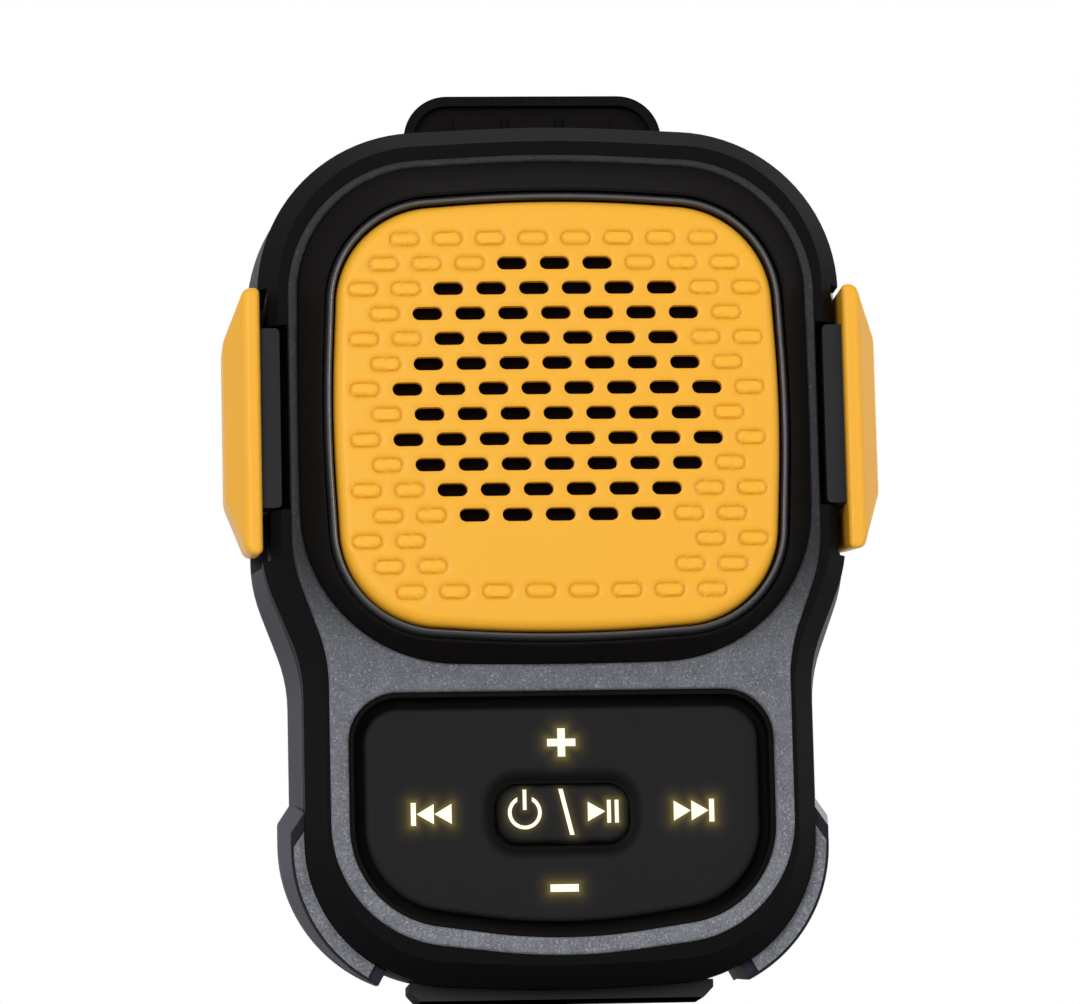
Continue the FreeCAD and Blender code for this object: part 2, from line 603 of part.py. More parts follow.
def box(name, left, right, front, back, low, high):
    new = doc.addObject("Part::Box", name)
    bind(new, "Length", f"({right}) - ({left})")
    bind(new, "Width", f"({back}) - ({front})")
    bind(new, "Height", f"({high}) - ({low})")
    bind(new, ".Placement.Base.x", left)
    bind(new, ".Placement.Base.y", front)
    bind(new, ".Placement.Base.z", low)
    return new


AXIS_TURNS = {
    "depth": FreeCAD.Rotation(FreeCAD.Vector(1, 0, 0), -90),
    "x": FreeCAD.Rotation(FreeCAD.Vector(0, 1, 0), 90),
    "z": FreeCAD.Rotation(),
}


def rod(name, axis, x, depth, z, radius, length):
    """A cylinder that starts at a point and runs along x, depth or z."""
    new = doc.addObject("Part::Cylinder", name)
    new.Placement = FreeCAD.Placement(FreeCAD.Vector(), AXIS_TURNS[axis])
    bind(new, "Radius", radius)
    bind(new, "Height", length)
    bind(new, ".Placement.Base.x", x)
    bind(new, ".Placement.Base.y", depth)
    bind(new, ".Placement.Base.z", z)
    return new


def cut(label, base, tool):
    new = doc.addObject("Part::Cut", label)
    new.Base = base
    new.Tool = tool
    return new


def fuse(label, shapes):
    new = doc.addObject("Part::MultiFuse", label)
    new.Shapes = shapes
    return new


def gather(label, shapes):
    """One piece, or one set of like pieces, kept as separate solids."""
    new = doc.addObject("Part::Compound", label)
    new.Links = shapes
    return new


def solid_from(label, shape):
    """A piece whose shape is worked out here from the sheet's sizes."""
    new = doc.addObject("Part::Feature", label)
    new.Shape = shape
    return new


# Outlines that several pieces share, each grown by a gap


def grille_outline(gap="0"):
    width = f"grille_half_width + ({gap})"
    height = f"grille_half_height + ({gap})"
    corner = (f"{width} - grille_bow", f"{height} - grille_end_bow", f"grille_corner_radius + ({gap})")
    low_corner = (corner[0], f"-({corner[1]})", corner[2])
    return mirrored(
        [("0", height, "grille_bow_radius"), corner, (width, "0", "grille_bow_radius"), low_corner]
        + [("0", f"-({height})", "grille_bow_radius")]
    )


def ring_outline(gap="0"):
    corner_x = f"ring_half_width - side_bow / 2 + ({gap})"
    return mirrored(
        [
            ("0", f"ring_top + ({gap})", "shell_bow_radius"),
            (corner_x, f"ring_top - shell_bow + ({gap})", f"ring_top_radius + ({gap})"),
            (f"ring_half_width + ({gap})", "0", "bow_radius"),
            (corner_x, f"-(ring_bottom - side_bow + ({gap}))", f"ring_bottom_radius + ({gap})"),
            ("0", f"-(ring_bottom + ({gap}))", "bow_radius"),
        ]
    )


def waisted_outline(name, gap, top, bottom, low_bow="0", low_radius="0", slimmer="0"):
    """The outline of the frame, bumper or housing: wide above, a neck, then narrower round the keypad."""
    wide = f"{name}_half_width + ({gap}) - ({slimmer})"
    narrow = f"{name}_keypad_half_width + ({gap}) - ({slimmer})"
    half = [
        ("0", f"{top} + ({gap})", "shell_bow_radius"),
        (wide, f"{top} - shell_bow + ({gap})", f"{name}_top_radius + ({gap})"),
        (wide, f"-{name}_neck_top", f"{name}_neck_radius + ({gap})"),
        (narrow, f"-{name}_neck_bottom", f"{name}_neck_radius - ({gap})"),
        (narrow, f"-({bottom} - {low_bow} + ({gap}))", f"{name}_bottom_radius + ({gap})"),
    ]
    if low_bow != "0":
        half.append(("0", f"-({bottom} + ({gap}))", low_radius))
    return mirrored(half)


def frame_outline(gap="0"):
    return waisted_outline("frame", gap, "frame_top", "frame_bottom", "frame_low_bow", "keypad_bow_radius")


def band_outline(gap="0"):
    return waisted_outline("band", gap, "band_top", "band_bottom", "band_low_bow", "shell_bow_radius")


def housing_outline(gap="0", slimmer="0"):
    return waisted_outline("housing", gap, "housing_top", "housing_bottom", slimmer=slimmer)


def inside_outline(gap="0"):
    """The space inside the rear housing, whose corners share their centres with the outer ones."""
    top_radius = "housing_top_radius - (housing_top - inside_top)"
    bottom_radius = "housing_bottom_radius - (housing_bottom - inside_bottom)"
    return mirrored(
        [
            (f"inside_half_width + ({gap})", f"inside_top + ({gap})", f"{top_radius} + ({gap})"),
            (f"inside_half_width + ({gap})", "-housing_neck_top + wall", f"housing_neck_radius + ({gap})"),
            (f"inside_keypad_half_width + ({gap})", "-housing_neck_bottom + wall", f"housing_neck_radius - ({gap})"),
            (f"inside_keypad_half_width + ({gap})", f"-(inside_bottom + ({gap}))", f"{bottom_radius} + ({gap})"),
        ]
    )


def recess_outline(gap="0"):
    return mirrored(
        [
            (f"recess_half_width + ({gap})", f"-recess_top + ({gap})", f"recess_top_radius + ({gap})"),
            (
                f"recess_half_width + ({gap})",
                f"-(recess_bottom - recess_low_bow + ({gap}))",
                f"recess_bottom_radius + ({gap})",
            ),
            ("0", f"-(recess_bottom + ({gap}))", "keypad_bow_radius"),
        ]
    )


def key_outline(gap="0"):
    width = f"key_half_width + ({gap})"
    height = f"key_half_height + ({gap})"
    return rectangle(
        f"-({width})",
        width,
        f"-keypad_centre - ({height})",
        f"-keypad_centre + ({height})",
        f"key_radius + ({gap})",
    )


# Grille, trim and bezel

# Rows of the grille from the top: open slots, and dimples on each side of them.
GRILLE_ROWS = [
    (0, 4),
    (3, 3),
    (6, 2),
    (7, 1),
    (6, 2),
    (7, 1),
    (8, 1),
    (7, 1),
    (8, 1),
    (7, 1),
    (6, 2),
    (5, 2),
    (0, 2),
    (0, 2),
    (0, 4),
]
# Places in the two rows beside the bare panel, counted in whole and half slots
ODD_ROW_PLACES = 10
EVEN_ROW_PLACES = 9


def slot_prism(x, z, front, back):
    """One slot with round ends, from one depth to another."""
    half_height = value("slot_height") / 2
    half_straight = value("slot_length") / 2 - half_height
    top_left = FreeCAD.Vector(x - half_straight, front, z + half_height)
    top_right = FreeCAD.Vector(x + half_straight, front, z + half_height)
    low_left = FreeCAD.Vector(x - half_straight, front, z - half_height)
    low_right = FreeCAD.Vector(x + half_straight, front, z - half_height)
    right_end = FreeCAD.Vector(x + half_straight + half_height, front, z)
    left_end = FreeCAD.Vector(x - half_straight - half_height, front, z)
    edges = [
        Part.LineSegment(top_left, top_right).toShape(),
        Part.Arc(top_right, right_end, low_right).toShape(),
        Part.LineSegment(low_right, low_left).toShape(),
        Part.Arc(low_left, left_end, top_left).toShape(),
    ]
    return Part.Face(Part.Wire(edges)).extrude(FreeCAD.Vector(0, back - front, 0))


def row_places(row):
    """Where each slot and dimple of a row lies: lists of x for the slots and for the dimples."""
    pitch = value("slot_pitch")
    slots, dimples = GRILLE_ROWS[row]
    places = EVEN_ROW_PLACES if row % 2 else ODD_ROW_PLACES
    if row in (0, len(GRILLE_ROWS) - 1):
        places = 2 * dimples
    across = [(index - (places - 1) / 2) * pitch for index in range(places)]
    first_slot = (places - slots) // 2
    open_places = across[first_slot : first_slot + slots]
    blind_places = across[:dimples] + across[-dimples:]
    return open_places, blind_places


def crown_depth(x, z):
    """Depth of the grille's pillow at a place on it."""
    rise = value("grille_crown")
    radius = (value("grille_half_width") ** 2 + rise**2) / (2 * rise)
    return radius - math.sqrt(radius**2 - x**2 - z**2)


def slot_field():
    """All the slots and dimples of the grille, as one tool."""
    back = value("grille_depth") + 1
    prisms = []
    middle_row = (len(GRILLE_ROWS) - 1) / 2
    for row in range(len(GRILLE_ROWS)):
        z = (middle_row - row) * value("row_pitch")
        slots, dimples = row_places(row)
        prisms += [slot_prism(x, z, -1, back) for x in slots]
        prisms += [slot_prism(x, z, -1, crown_depth(x, z) + value("dimple_depth")) for x in dimples]
    return solid_from("slot_field", Part.makeCompound(prisms))


def make_grille():
    """The pillow: a plate with sloped edges, trimmed by a large ball, then slotted."""
    blank = body("grille_blank")
    plate = outline(blank, "grille_plate", "front", "grille_depth", grille_outline())
    pad(plate, "grille_depth - grille_edge_depth", "front")
    frustum(blank, "grille_edge", "grille_edge_depth", grille_outline(), "0", grille_outline("-grille_edge_run"))
    ball = doc.addObject("Part::Sphere", "grille_ball")
    bind(ball, "Radius", "(grille_half_width ^ 2 + grille_crown ^ 2) / (2 * grille_crown)")
    bind(ball, ".Placement.Base.y", "(grille_half_width ^ 2 + grille_crown ^ 2) / (2 * grille_crown)")
    pillow = doc.addObject("Part::Common", "grille_pillow")
    pillow.Base = blank
    pillow.Tool = ball
    return cut("grille", pillow, slot_field())


def make_trim_ring():
    ring = body("trim_ring")
    outer = outline(ring, "trim_outer", "front", "trim_front", grille_outline("trim_gap + trim_width"))
    pad(outer, "grille_depth - trim_front")
    inner = outline(ring, "trim_inner", "front", "trim_front - 1", grille_outline("trim_gap"))
    pocket(inner, "grille_depth - trim_front + 2")
    return ring


def make_speaker_bezel():
    """A sloped ring with a seat for the trim and grille, and a floor with the loudspeaker's hole."""
    bezel = body("speaker_bezel")
    seat_edge = "trim_gap + trim_width + fit_gap"
    rim = grille_outline(f"{seat_edge} + bezel_rim")
    pad(outline(bezel, "bezel_base", "front", "frame_front", ring_outline()), "bezel_back - frame_front")
    frustum(bezel, "bezel_slope", "frame_front", ring_outline(), "bezel_front", rim)
    pocket(outline(bezel, "bezel_seat", "front", "0", grille_outline(seat_edge)), "grille_depth")
    pocket(outline(bezel, "bezel_well", "front", "0", grille_outline("-grille_ledge")), "bezel_floor")
    pocket(circle(bezel, "bezel_hole", "front", "0", "0", "0", "basket_hole"), "bezel_back + 1")
    return bezel


def make_dust_screen():
    screen = body("dust_screen")
    face = outline(screen, "screen_face", "front", "grille_depth + fit_gap", grille_outline("-grille_ledge - trim_gap"))
    pad(face, "screen_thickness")
    return screen


# Frame, bumper, chassis and housing


def make_front_frame():
    frame = body("front_frame")
    pad(outline(frame, "frame_face", "front", "frame_front", frame_outline()), "frame_back - frame_front")
    pocket(outline(frame, "frame_ring_hole", "front", "0", ring_outline("fit_gap")), "frame_back + 1")
    pocket(outline(frame, "frame_keypad_hole", "front", "0", recess_outline()), "frame_back + 1")
    return frame


def make_front_bumper():
    band = body("front_bumper")
    pad(outline(band, "band_side", "front", "band_shoulder", band_outline()), "band_back - band_shoulder")
    frustum(band, "band_slope_face", "band_shoulder", band_outline(), "band_front", band_outline("-band_slope"))
    pocket(
        outline(band, "band_seat", "front", "0", frame_outline("fit_gap")),
        "band_back - band_flange_thickness",
    )
    pocket(outline(band, "band_mouth", "front", "0", frame_outline("-band_flange")), "band_back + 1")
    wells = [pad_well(side) for side in SIDES.values()]
    pocket(outlines(band, "band_wells", "front", "0", wells), "band_back + 1")
    notches = [rail_notch(side) for side in SIDES.values()]
    pocket(outlines(band, "band_notches", "front", "0", notches), "rail_back + rail_room")
    return band


def pad_well(side):
    """The room in the body's side that a side pad is squeezed into."""
    inner = f"{side}(pad_inner - pad_travel - fit_gap * 2)"
    outer = f"{side}(pad_face + 5)"
    left, right = (inner, outer) if side == "" else (outer, inner)
    return rectangle(left, right, "-pad_bottom - well_clearance", "pad_top + well_clearance")


def rail_notch(side):
    inner = f"{side}(frame_half_width + fit_gap * 2)"
    outer = f"{side}(pad_face + 5)"
    left, right = (inner, outer) if side == "" else (outer, inner)
    return rectangle(left, right, "-rail_bottom - rail_room", "rail_top + rail_room")


SCREW_PLACES = [
    ("top_screw_x", "top_screw_z"),
    ("-top_screw_x", "top_screw_z"),
    ("neck_screw_x", "-neck_screw_z"),
    ("-neck_screw_x", "-neck_screw_z"),
]


def make_inner_chassis():
    """The plate that the frame, tray and loudspeaker meet, with bosses for the housing screws."""
    chassis = body("inner_chassis")
    pad(outline(chassis, "chassis_plate", "front", "frame_back", frame_outline()), "chassis_back - frame_back")
    pocket(circle(chassis, "chassis_hole_edge", "front", "0", "0", "0", "chassis_hole"), "chassis_back + 1")
    pocket(outline(chassis, "chassis_window", "front", "0", recess_outline()), "chassis_back + 1")
    pad(circles(chassis, "bosses", "front", "frame_back", SCREW_PLACES, "boss_radius"), "band_back - frame_back")
    hole = "screw_radius + screw_clearance"
    pocket(circles(chassis, "boss_holes", "front", "frame_back + boss_floor", SCREW_PLACES, hole), "band_back")
    return chassis


CLIP_SCREW_PLACES = [
    ("clip_screw_x", "clip_screw_top"),
    ("-clip_screw_x", "clip_screw_top"),
    ("clip_screw_x", "clip_screw_bottom"),
    ("-clip_screw_x", "clip_screw_bottom"),
]
# Depth and height of the two pegs of a corner guard
PEG_PLACES = [("peg_depth", "-upper_peg"), ("peg_depth", "-lower_peg")]


def make_rear_housing():
    """The rear shell, with a groove for its gasket, screw posts, side wells and the charging port."""
    shell = body("rear_housing")
    slim = housing_outline(slimmer="housing_flare")
    frustum(shell, "housing_spread", "flare_depth", housing_outline(), "band_back", slim)
    block = pad(outline(shell, "housing_side", "front", "flare_depth", housing_outline()), "housing_back - flare_depth")
    doc.recompute()
    round_edges(shell, block, "housing_back", "housing_edge_radius")
    pocket(outline(shell, "housing_room", "front", "0", inside_outline()), "housing_back - wall")
    posts = circles(shell, "posts", "front", "band_back", SCREW_PLACES, "boss_radius")
    pad(posts, "housing_back - wall / 2 - band_back")
    hole = "screw_radius + screw_clearance"
    pocket(circles(shell, "post_holes", "front", "0", SCREW_PLACES, hole), "housing_back + 1")
    sink_front = "housing_back - screw_head_height - screw_sink"
    sink = "screw_head_radius + screw_clearance"
    pocket(circles(shell, "post_sinks", "front", sink_front, SCREW_PLACES, sink), "housing_back")
    wells = [pad_well(side) for side in SIDES.values()]
    pocket(outlines(shell, "housing_wells", "front", "0", wells), "pad_tail + well_clearance")
    for name, side in SIDES.items():
        floor = f"{side}(pad_inner - pad_travel - pad_spring_socket)"
        springs = [("pad_spring_depth", "pad_spring_z"), ("pad_spring_depth", "-pad_spring_z")]
        radius = "pad_spring_radius + screw_clearance * 4"
        sockets = circles(shell, f"spring_sockets_{name}", "side", floor, springs, radius)
        pocket(sockets, "pad_spring_socket + 1", "left" if side else "right")
    port = rectangle(
        "-usb_width / 2 - port_cover_gap",
        "usb_width / 2 + port_cover_gap",
        "port_depth - usb_height / 2 - port_cover_gap",
        "port_depth + usb_height / 2 + port_cover_gap",
    )
    pocket(outline(shell, "port_mouth", "top", "-inside_bottom + 1", port), "housing_bottom - inside_bottom + 2")
    groove = [
        inside_outline("gasket_inset + gasket_width + fit_gap"),
        inside_outline("gasket_inset - fit_gap"),
    ]
    pocket(outlines(shell, "gasket_groove", "front", "band_back", groove), "gasket_depth + fit_gap")
    hole = "clip_screw_radius + screw_clearance"
    pocket(circles(shell, "clip_holes", "front", "0", CLIP_SCREW_PLACES, hole), "housing_back + 1")
    hole = "peg_radius + screw_clearance"
    pocket(circles(shell, "peg_holes", "side", "0", PEG_PLACES, hole), "housing_half_width * 2 + 1", "both")
    return shell


def round_edges(owner, feature, depth, radius):
    """Rounds every edge of a feature that lies in the plane of one depth."""
    level = value(depth)
    names = []
    for number, edge in enumerate(feature.Shape.Edges, start=1):
        extent = edge.BoundBox
        if abs(extent.YMin - level) < 1e-6 and abs(extent.YMax - level) < 1e-6:
            names.append(f"Edge{number}")
    rounding = owner.newObject("PartDesign::Fillet", feature.Name + "_rounding")
    rounding.Base = (feature, names)
    bind(rounding, "Radius", radius)
    return rounding


def make_housing_gasket():
    """A seal that lies in a groove in the housing's front edge."""
    gasket = body("housing_gasket")
    outer = outline(gasket, "gasket_outer", "front", "band_back + fit_gap", inside_outline("gasket_inset + gasket_width"))
    pad(outer, "gasket_depth - fit_gap")
    pocket(outline(gasket, "gasket_inner", "front", "0", inside_outline("gasket_inset")), "housing_back")
    return gasket


# Keypad


def make_keypad_tray():
    """The black recess: wall, floor with the pivot window, plunger holes, rear flange and board posts."""
    tray = body("keypad_tray")
    pad(outline(tray, "tray_outer", "front", "tray_front", recess_outline("-fit_gap")), "tray_back - tray_front")
    flange = outline(tray, "tray_flange_edge", "front", "chassis_back + fit_gap", recess_outline("tray_flange"))
    pad(flange, "tray_back - chassis_back - fit_gap")
    pocket(
        outline(tray, "tray_inner", "front", "0", recess_outline("-fit_gap - tray_wall")),
        "tray_floor",
    )
    window = rectangle(
        "-window_half_width",
        "window_half_width",
        "-keypad_centre - window_half_height",
        "-keypad_centre + window_half_height",
    )
    pocket(outline(tray, "tray_window", "front", "0", window), "tray_back + 1")
    bearing = rectangle(
        "-pivot_half_width - pivot_pin_length - pivot_clearance * 4",
        "pivot_half_width + pivot_pin_length + pivot_clearance * 4",
        "-keypad_centre - pivot_pin_radius - pivot_clearance",
        "-keypad_centre + pivot_pin_radius + pivot_clearance",
    )
    pocket(outline(tray, "tray_bearing", "front", "0", bearing), "tray_back + 1")
    pocket(circles(tray, "tray_holes", "front", "0", PLUNGER_PLACES, "plunger_hole_radius"), "tray_back + 1")
    posts = circles(tray, "tray_posts", "front", "tray_floor", post_places(), "post_radius")
    pad(posts, "board_front - tray_floor")
    return tray


PLUNGER_PLACES = [
    ("side_plunger", "-keypad_centre"),
    ("-side_plunger", "-keypad_centre"),
    ("0", "-keypad_centre + end_plunger"),
    ("0", "-keypad_centre - end_plunger"),
]


def post_places():
    """The board's four posts, near the corners of the rocker pad."""
    top = "-recess_top - pad_gap - board_inset - post_radius * 2"
    bottom = "-recess_bottom + recess_low_bow / 2 + pad_gap + board_inset + post_radius * 3"
    x_top = "recess_half_width - pad_gap - board_inset - post_radius * 2"
    x_bottom = "recess_half_width - recess_bottom_radius + post_radius * 3"
    return [(x_top, top), (f"-({x_top})", top), (x_bottom, bottom), (f"-({x_bottom})", bottom)]


def make_rocker_pad(icons):
    """The pad with its opening, lugs for the pivot ring and plungers, less the icon inlays."""
    plate = body("rocker_plate")
    pad(outline(plate, "pad_face_edge", "front", "pad_front", recess_outline("-pad_gap")), "pad_back - pad_front")
    pocket(outline(plate, "pad_opening", "front", "0", key_outline("key_moat")), "pad_back + 1")
    lug_low = "pivot_half_height + pivot_clearance * 5"
    for name, sign in (("top", ""), ("bottom", "-")):
        edges = [f"-keypad_centre + {sign}({lug_low})", f"-keypad_centre + {sign}({lug_low} + lug_thickness)"]
        low, high = edges if sign == "" else edges[::-1]
        lug = outline(plate, f"lug_{name}", "front", "pad_back", rectangle("-lug_width / 2", "lug_width / 2", low, high))
        pad(lug, "lug_back - pad_back")
    bearing = circle(
        plate, "lug_bearing", "top", "-keypad_centre", "0", "pivot_depth", "pivot_pin_radius + pivot_clearance"
    )
    pocket(bearing, "(pivot_half_height + pivot_pin_length + pivot_clearance * 4) * 2", "both")
    plungers = circles(plate, "plungers", "front", "pad_back", PLUNGER_PLACES, "plunger_radius")
    pad(plungers, "stem_back - pad_back")
    return cut("rocker_pad", plate, solid_from("rocker_icon_seats", icons.Shape))


def make_rocker_ring():
    """The cross pivot: a ring with two pins along x, in the tray, and two along z, in the pad's lugs."""
    ring = body("rocker_ring")
    depth = "pivot_depth - pivot_bar / 2"
    outer = rectangle(
        "-pivot_half_width",
        "pivot_half_width",
        "-keypad_centre - pivot_half_height",
        "-keypad_centre + pivot_half_height",
        "pivot_bar",
    )
    inner = rectangle(
        "-pivot_half_width + pivot_bar",
        "pivot_half_width - pivot_bar",
        "-keypad_centre - pivot_half_height + pivot_bar",
        "-keypad_centre + pivot_half_height - pivot_bar",
    )
    pad(outline(ring, "pivot_outer", "front", depth, outer), "pivot_bar")
    pocket(outline(ring, "pivot_inner", "front", "0", inner), "pivot_depth + pivot_bar")
    for name, side in SIDES.items():
        start = f"{side}(pivot_half_width - pivot_bar / 2)"
        pin = circle(ring, f"pin_{name}", "side", start, "pivot_depth", "-keypad_centre", "pivot_pin_radius")
        pad(pin, "pivot_pin_length + pivot_bar / 2", "left" if side else "right")
    for name, side in (("top", ""), ("bottom", "-")):
        start = f"-keypad_centre + {side}(pivot_half_height - pivot_bar / 2)"
        pin = circle(ring, f"pin_{name}", "top", start, "0", "pivot_depth", "pivot_pin_radius")
        pad(pin, "pivot_pin_length + pivot_bar / 2", "down" if side else "up")
    return ring


def make_key_seal():
    """The soft moat between the pad's opening and the centre key."""
    seal = body("key_seal")
    pad(outline(seal, "seal_outer", "front", "seal_front", key_outline("key_moat")), "seal_back - seal_front")
    pocket(outline(seal, "seal_inner", "front", "0", key_outline("key_slack")), "seal_back + 1")
    return seal


def make_centre_key(icons):
    key = body("key_block")
    pad(outline(key, "key_face", "front", "key_front", key_outline()), "key_back - key_front")
    flange = outline(key, "key_flange_edge", "front", "key_flange_front", key_outline("key_flange"))
    pad(flange, "key_back - key_flange_front")
    stem = circle(key, "key_stem", "front", "key_back", "0", "-keypad_centre", "key_stem_radius")
    pad(stem, "stem_back - key_back")
    return cut("centre_key", key, solid_from("key_icon_seats", icons.Shape))


def flat_prism(corners, depth, thickness):
    """A thin solid of a polygon given as (x, z), from one depth back."""
    ring = [FreeCAD.Vector(x, depth, z) for x, z in corners]
    return Part.Face(Part.makePolygon(ring + ring[:1])).extrude(FreeCAD.Vector(0, thickness, 0))


def bar_corners(x, z, width, height):
    return [
        (x - width / 2, z - height / 2),
        (x + width / 2, z - height / 2),
        (x + width / 2, z + height / 2),
        (x - width / 2, z + height / 2),
    ]


def skip_mark(direction, depth, thickness):
    """Two triangles and a bar, pointing right for 1 and left for -1."""
    z = value("mark_rise - keypad_centre")
    half = value("skip_height") / 2
    run = value("skip_triangle")
    tip = run - value("skip_gap")
    bar = value("skip_bar")
    start = direction * (value("skip_distance") - run - bar / 2)
    solids = []
    for step in range(2):
        tail = start + direction * step * run
        corners = [(tail, z - half), (tail + direction * tip, z), (tail, z + half)]
        solids.append(flat_prism(corners, depth, thickness))
    end = start + direction * (2 * run + bar / 2)
    solids.append(flat_prism(bar_corners(end, z, bar, value("mark_height")), depth, thickness))
    return solids


def make_rocker_icons():
    """Plus, minus, previous and next, let into the pad's face."""
    depth = value("pad_front")
    thickness = value("icon_depth")
    stroke = value("icon_stroke")
    size = value("icon_size")
    plus_z = value("plus_rise - keypad_centre")
    upright = flat_prism(bar_corners(0, plus_z, stroke, size), depth, thickness)
    level = flat_prism(bar_corners(0, plus_z, size, stroke), depth, thickness)
    plus = upright.fuse(level).removeSplitter()
    minus = flat_prism(bar_corners(0, value("-minus_drop - keypad_centre"), size, stroke), depth, thickness)
    marks = [plus, minus] + skip_mark(1, depth, thickness) + skip_mark(-1, depth, thickness)
    return solid_from("rocker_icons", Part.makeCompound(marks))


def power_mark(depth, thickness):
    """A ring open at its top, with a short bar in the opening."""
    stroke = value("thin_stroke")
    radius = value("power_radius")
    middle = FreeCAD.Vector(-value("power_distance"), depth, value("mark_rise - keypad_centre"))
    along = FreeCAD.Vector(0, 1, 0)
    ring = Part.makeCylinder(radius, thickness, middle, along)
    ring = ring.cut(Part.makeCylinder(radius - stroke, thickness, middle, along))
    top = middle.z + radius
    opening = bar_corners(middle.x, top, value("power_opening"), radius * 1.2)
    ring = ring.cut(flat_prism(opening, depth, thickness))
    bar = flat_prism(bar_corners(middle.x, top - radius / 4, stroke, radius * 1.2), depth, thickness)
    return [ring, bar]


def make_key_icons():
    """Power, slash and play/pause, let into the key's face."""
    z = value("mark_rise - keypad_centre")
    depth = value("key_front")
    thickness = value("icon_depth")
    half_stroke = value("slash_stroke") / 2
    foot = value("slash_place + slash_lean / 2")
    head = value("slash_place - slash_lean / 2")
    rise = value("slash_height") / 2
    slash = [(foot - half_stroke, z - rise), (foot + half_stroke, z - rise)]
    slash += [(head + half_stroke, z + rise), (head - half_stroke, z + rise)]
    tail = value("play_start")
    tip = tail + value("play_width")
    half_height = value("play_height") / 2
    play = [(tail, z - half_height), (tip, z), (tail, z + half_height)]
    solids = power_mark(depth, thickness)
    solids += [flat_prism(slash, depth, thickness), flat_prism(play, depth, thickness)]
    for step in range(2):
        x = tip + value("pause_bar") + step * value("pause_pitch")
        solids.append(flat_prism(bar_corners(x, z, value("pause_bar"), value("mark_height")), depth, thickness))
    return solid_from("key_icons", Part.makeCompound(solids))


def make_keypad_board():
    board = body("keypad_board")
    face = outline(board, "board_face", "front", "board_front", recess_outline("-pad_gap - board_inset"))
    pad(face, "board_thickness")
    return board


def make_tact_switches():
    """A square body and a round cap under each plunger and under the key's stem."""
    solids = []
    half = "switch_size / 2"
    body_front = "board_front - switch_height"
    cap_front = f"{body_front} - switch_cap_height"
    for number, (x, z) in enumerate(PLUNGER_PLACES + [("0", "-keypad_centre")], start=1):
        across = (f"{x} - {half}", f"{x} + {half}")
        upright = (f"{z} - {half}", f"{z} + {half}")
        solids.append(box(f"switch_body_{number}", *across, body_front, "board_front", *upright))
        solids.append(rod(f"switch_cap_{number}", "depth", x, cap_front, z, "switch_cap_radius", "switch_cap_height"))
    return gather("tact_switches", solids)


LIGHT_PLACES = [(-11.6, 0), (11.6, 0), (-3.4, 9.0), (3.4, -9.0), (-5.2, 0), (5.2, 0)]
LIGHT_SIZE = (1.6, 0.6, 0.8)


def make_keypad_lights():
    """Small light-emitting diodes on the board, beside the switches."""
    wide, deep, tall = LIGHT_SIZE
    solids = []
    for number, (x, rise) in enumerate(LIGHT_PLACES, start=1):
        z = f"-keypad_centre + {rise}"
        front = f"board_front - {deep}"
        edges = (f"{x} - {wide / 2}", f"{x} + {wide / 2}")
        solids.append(box(f"light_{number}", *edges, front, "board_front", f"{z} - {tall / 2}", f"{z} + {tall / 2}"))
    return gather("keypad_lights", solids)


# Loudspeaker, turned about the grille's axis


def make_driver_basket():
    basket = body("driver_basket")
    flange_back = "basket_front + basket_sheet"
    revolve(
        basket,
        "basket_profile",
        sharp(
            ("basket_radius - 2.8", "basket_front"),
            ("basket_radius", "basket_front"),
            ("basket_radius", flange_back),
            ("basket_radius - 1.9", flange_back),
            ("basket_radius - 2.3", "basket_back - 2.7"),
            ("basket_radius - 5.6", "basket_back"),
            ("coil_radius + 0.8", "basket_back"),
            ("coil_radius + 0.8", "basket_back - 0.7"),
            ("basket_radius - 6", "basket_back - 0.7"),
            ("basket_radius - 3.1", "basket_back - 3.1"),
            ("basket_radius - 2.8", flange_back),
        ),
    )
    return basket


def make_driver_surround():
    """The half roll between the cone's rim and the basket's flange."""
    surround = body("driver_surround")
    revolve(
        surround,
        "surround_profile",
        sharp(
            ("basket_radius - 6.3", "basket_front + 0.35"),
            ("basket_radius - 5.5", "basket_front + 0.3"),
            ("basket_radius - 4.7", "basket_front - 0.45"),
            ("basket_radius - 3.5", "basket_front - 0.45"),
            ("basket_radius - 2.9", "basket_front - 0.35"),
            ("basket_radius - 1.2", "basket_front - 0.35"),
            ("basket_radius - 1.2", "basket_front"),
            ("basket_radius - 2.75", "basket_front"),
            ("basket_radius - 3.7", "basket_front - 0.05"),
            ("basket_radius - 4.5", "basket_front - 0.05"),
            ("basket_radius - 5.3", "basket_front + 0.65"),
            ("basket_radius - 6.3", "basket_front + 0.7"),
        ),
    )
    return surround


def make_driver_cone():
    cone = body("driver_cone")
    rim = "basket_front + 0.7"
    neck = "basket_front + 5.5"
    revolve(
        cone,
        "cone_profile",
        sharp(
            ("basket_radius - 6.4", rim),
            ("basket_radius - 5.5", rim),
            ("basket_radius - 5.5", f"{rim} + 0.4"),
            ("basket_radius - 6.1", f"{rim} + 0.4"),
            ("coil_radius + 0.1", f"{neck} - 0.4"),
            ("coil_radius + 0.1", neck),
            ("coil_radius - coil_wall", neck),
            ("coil_radius - coil_wall", f"{neck} - 0.7"),
        ),
    )
    return cone


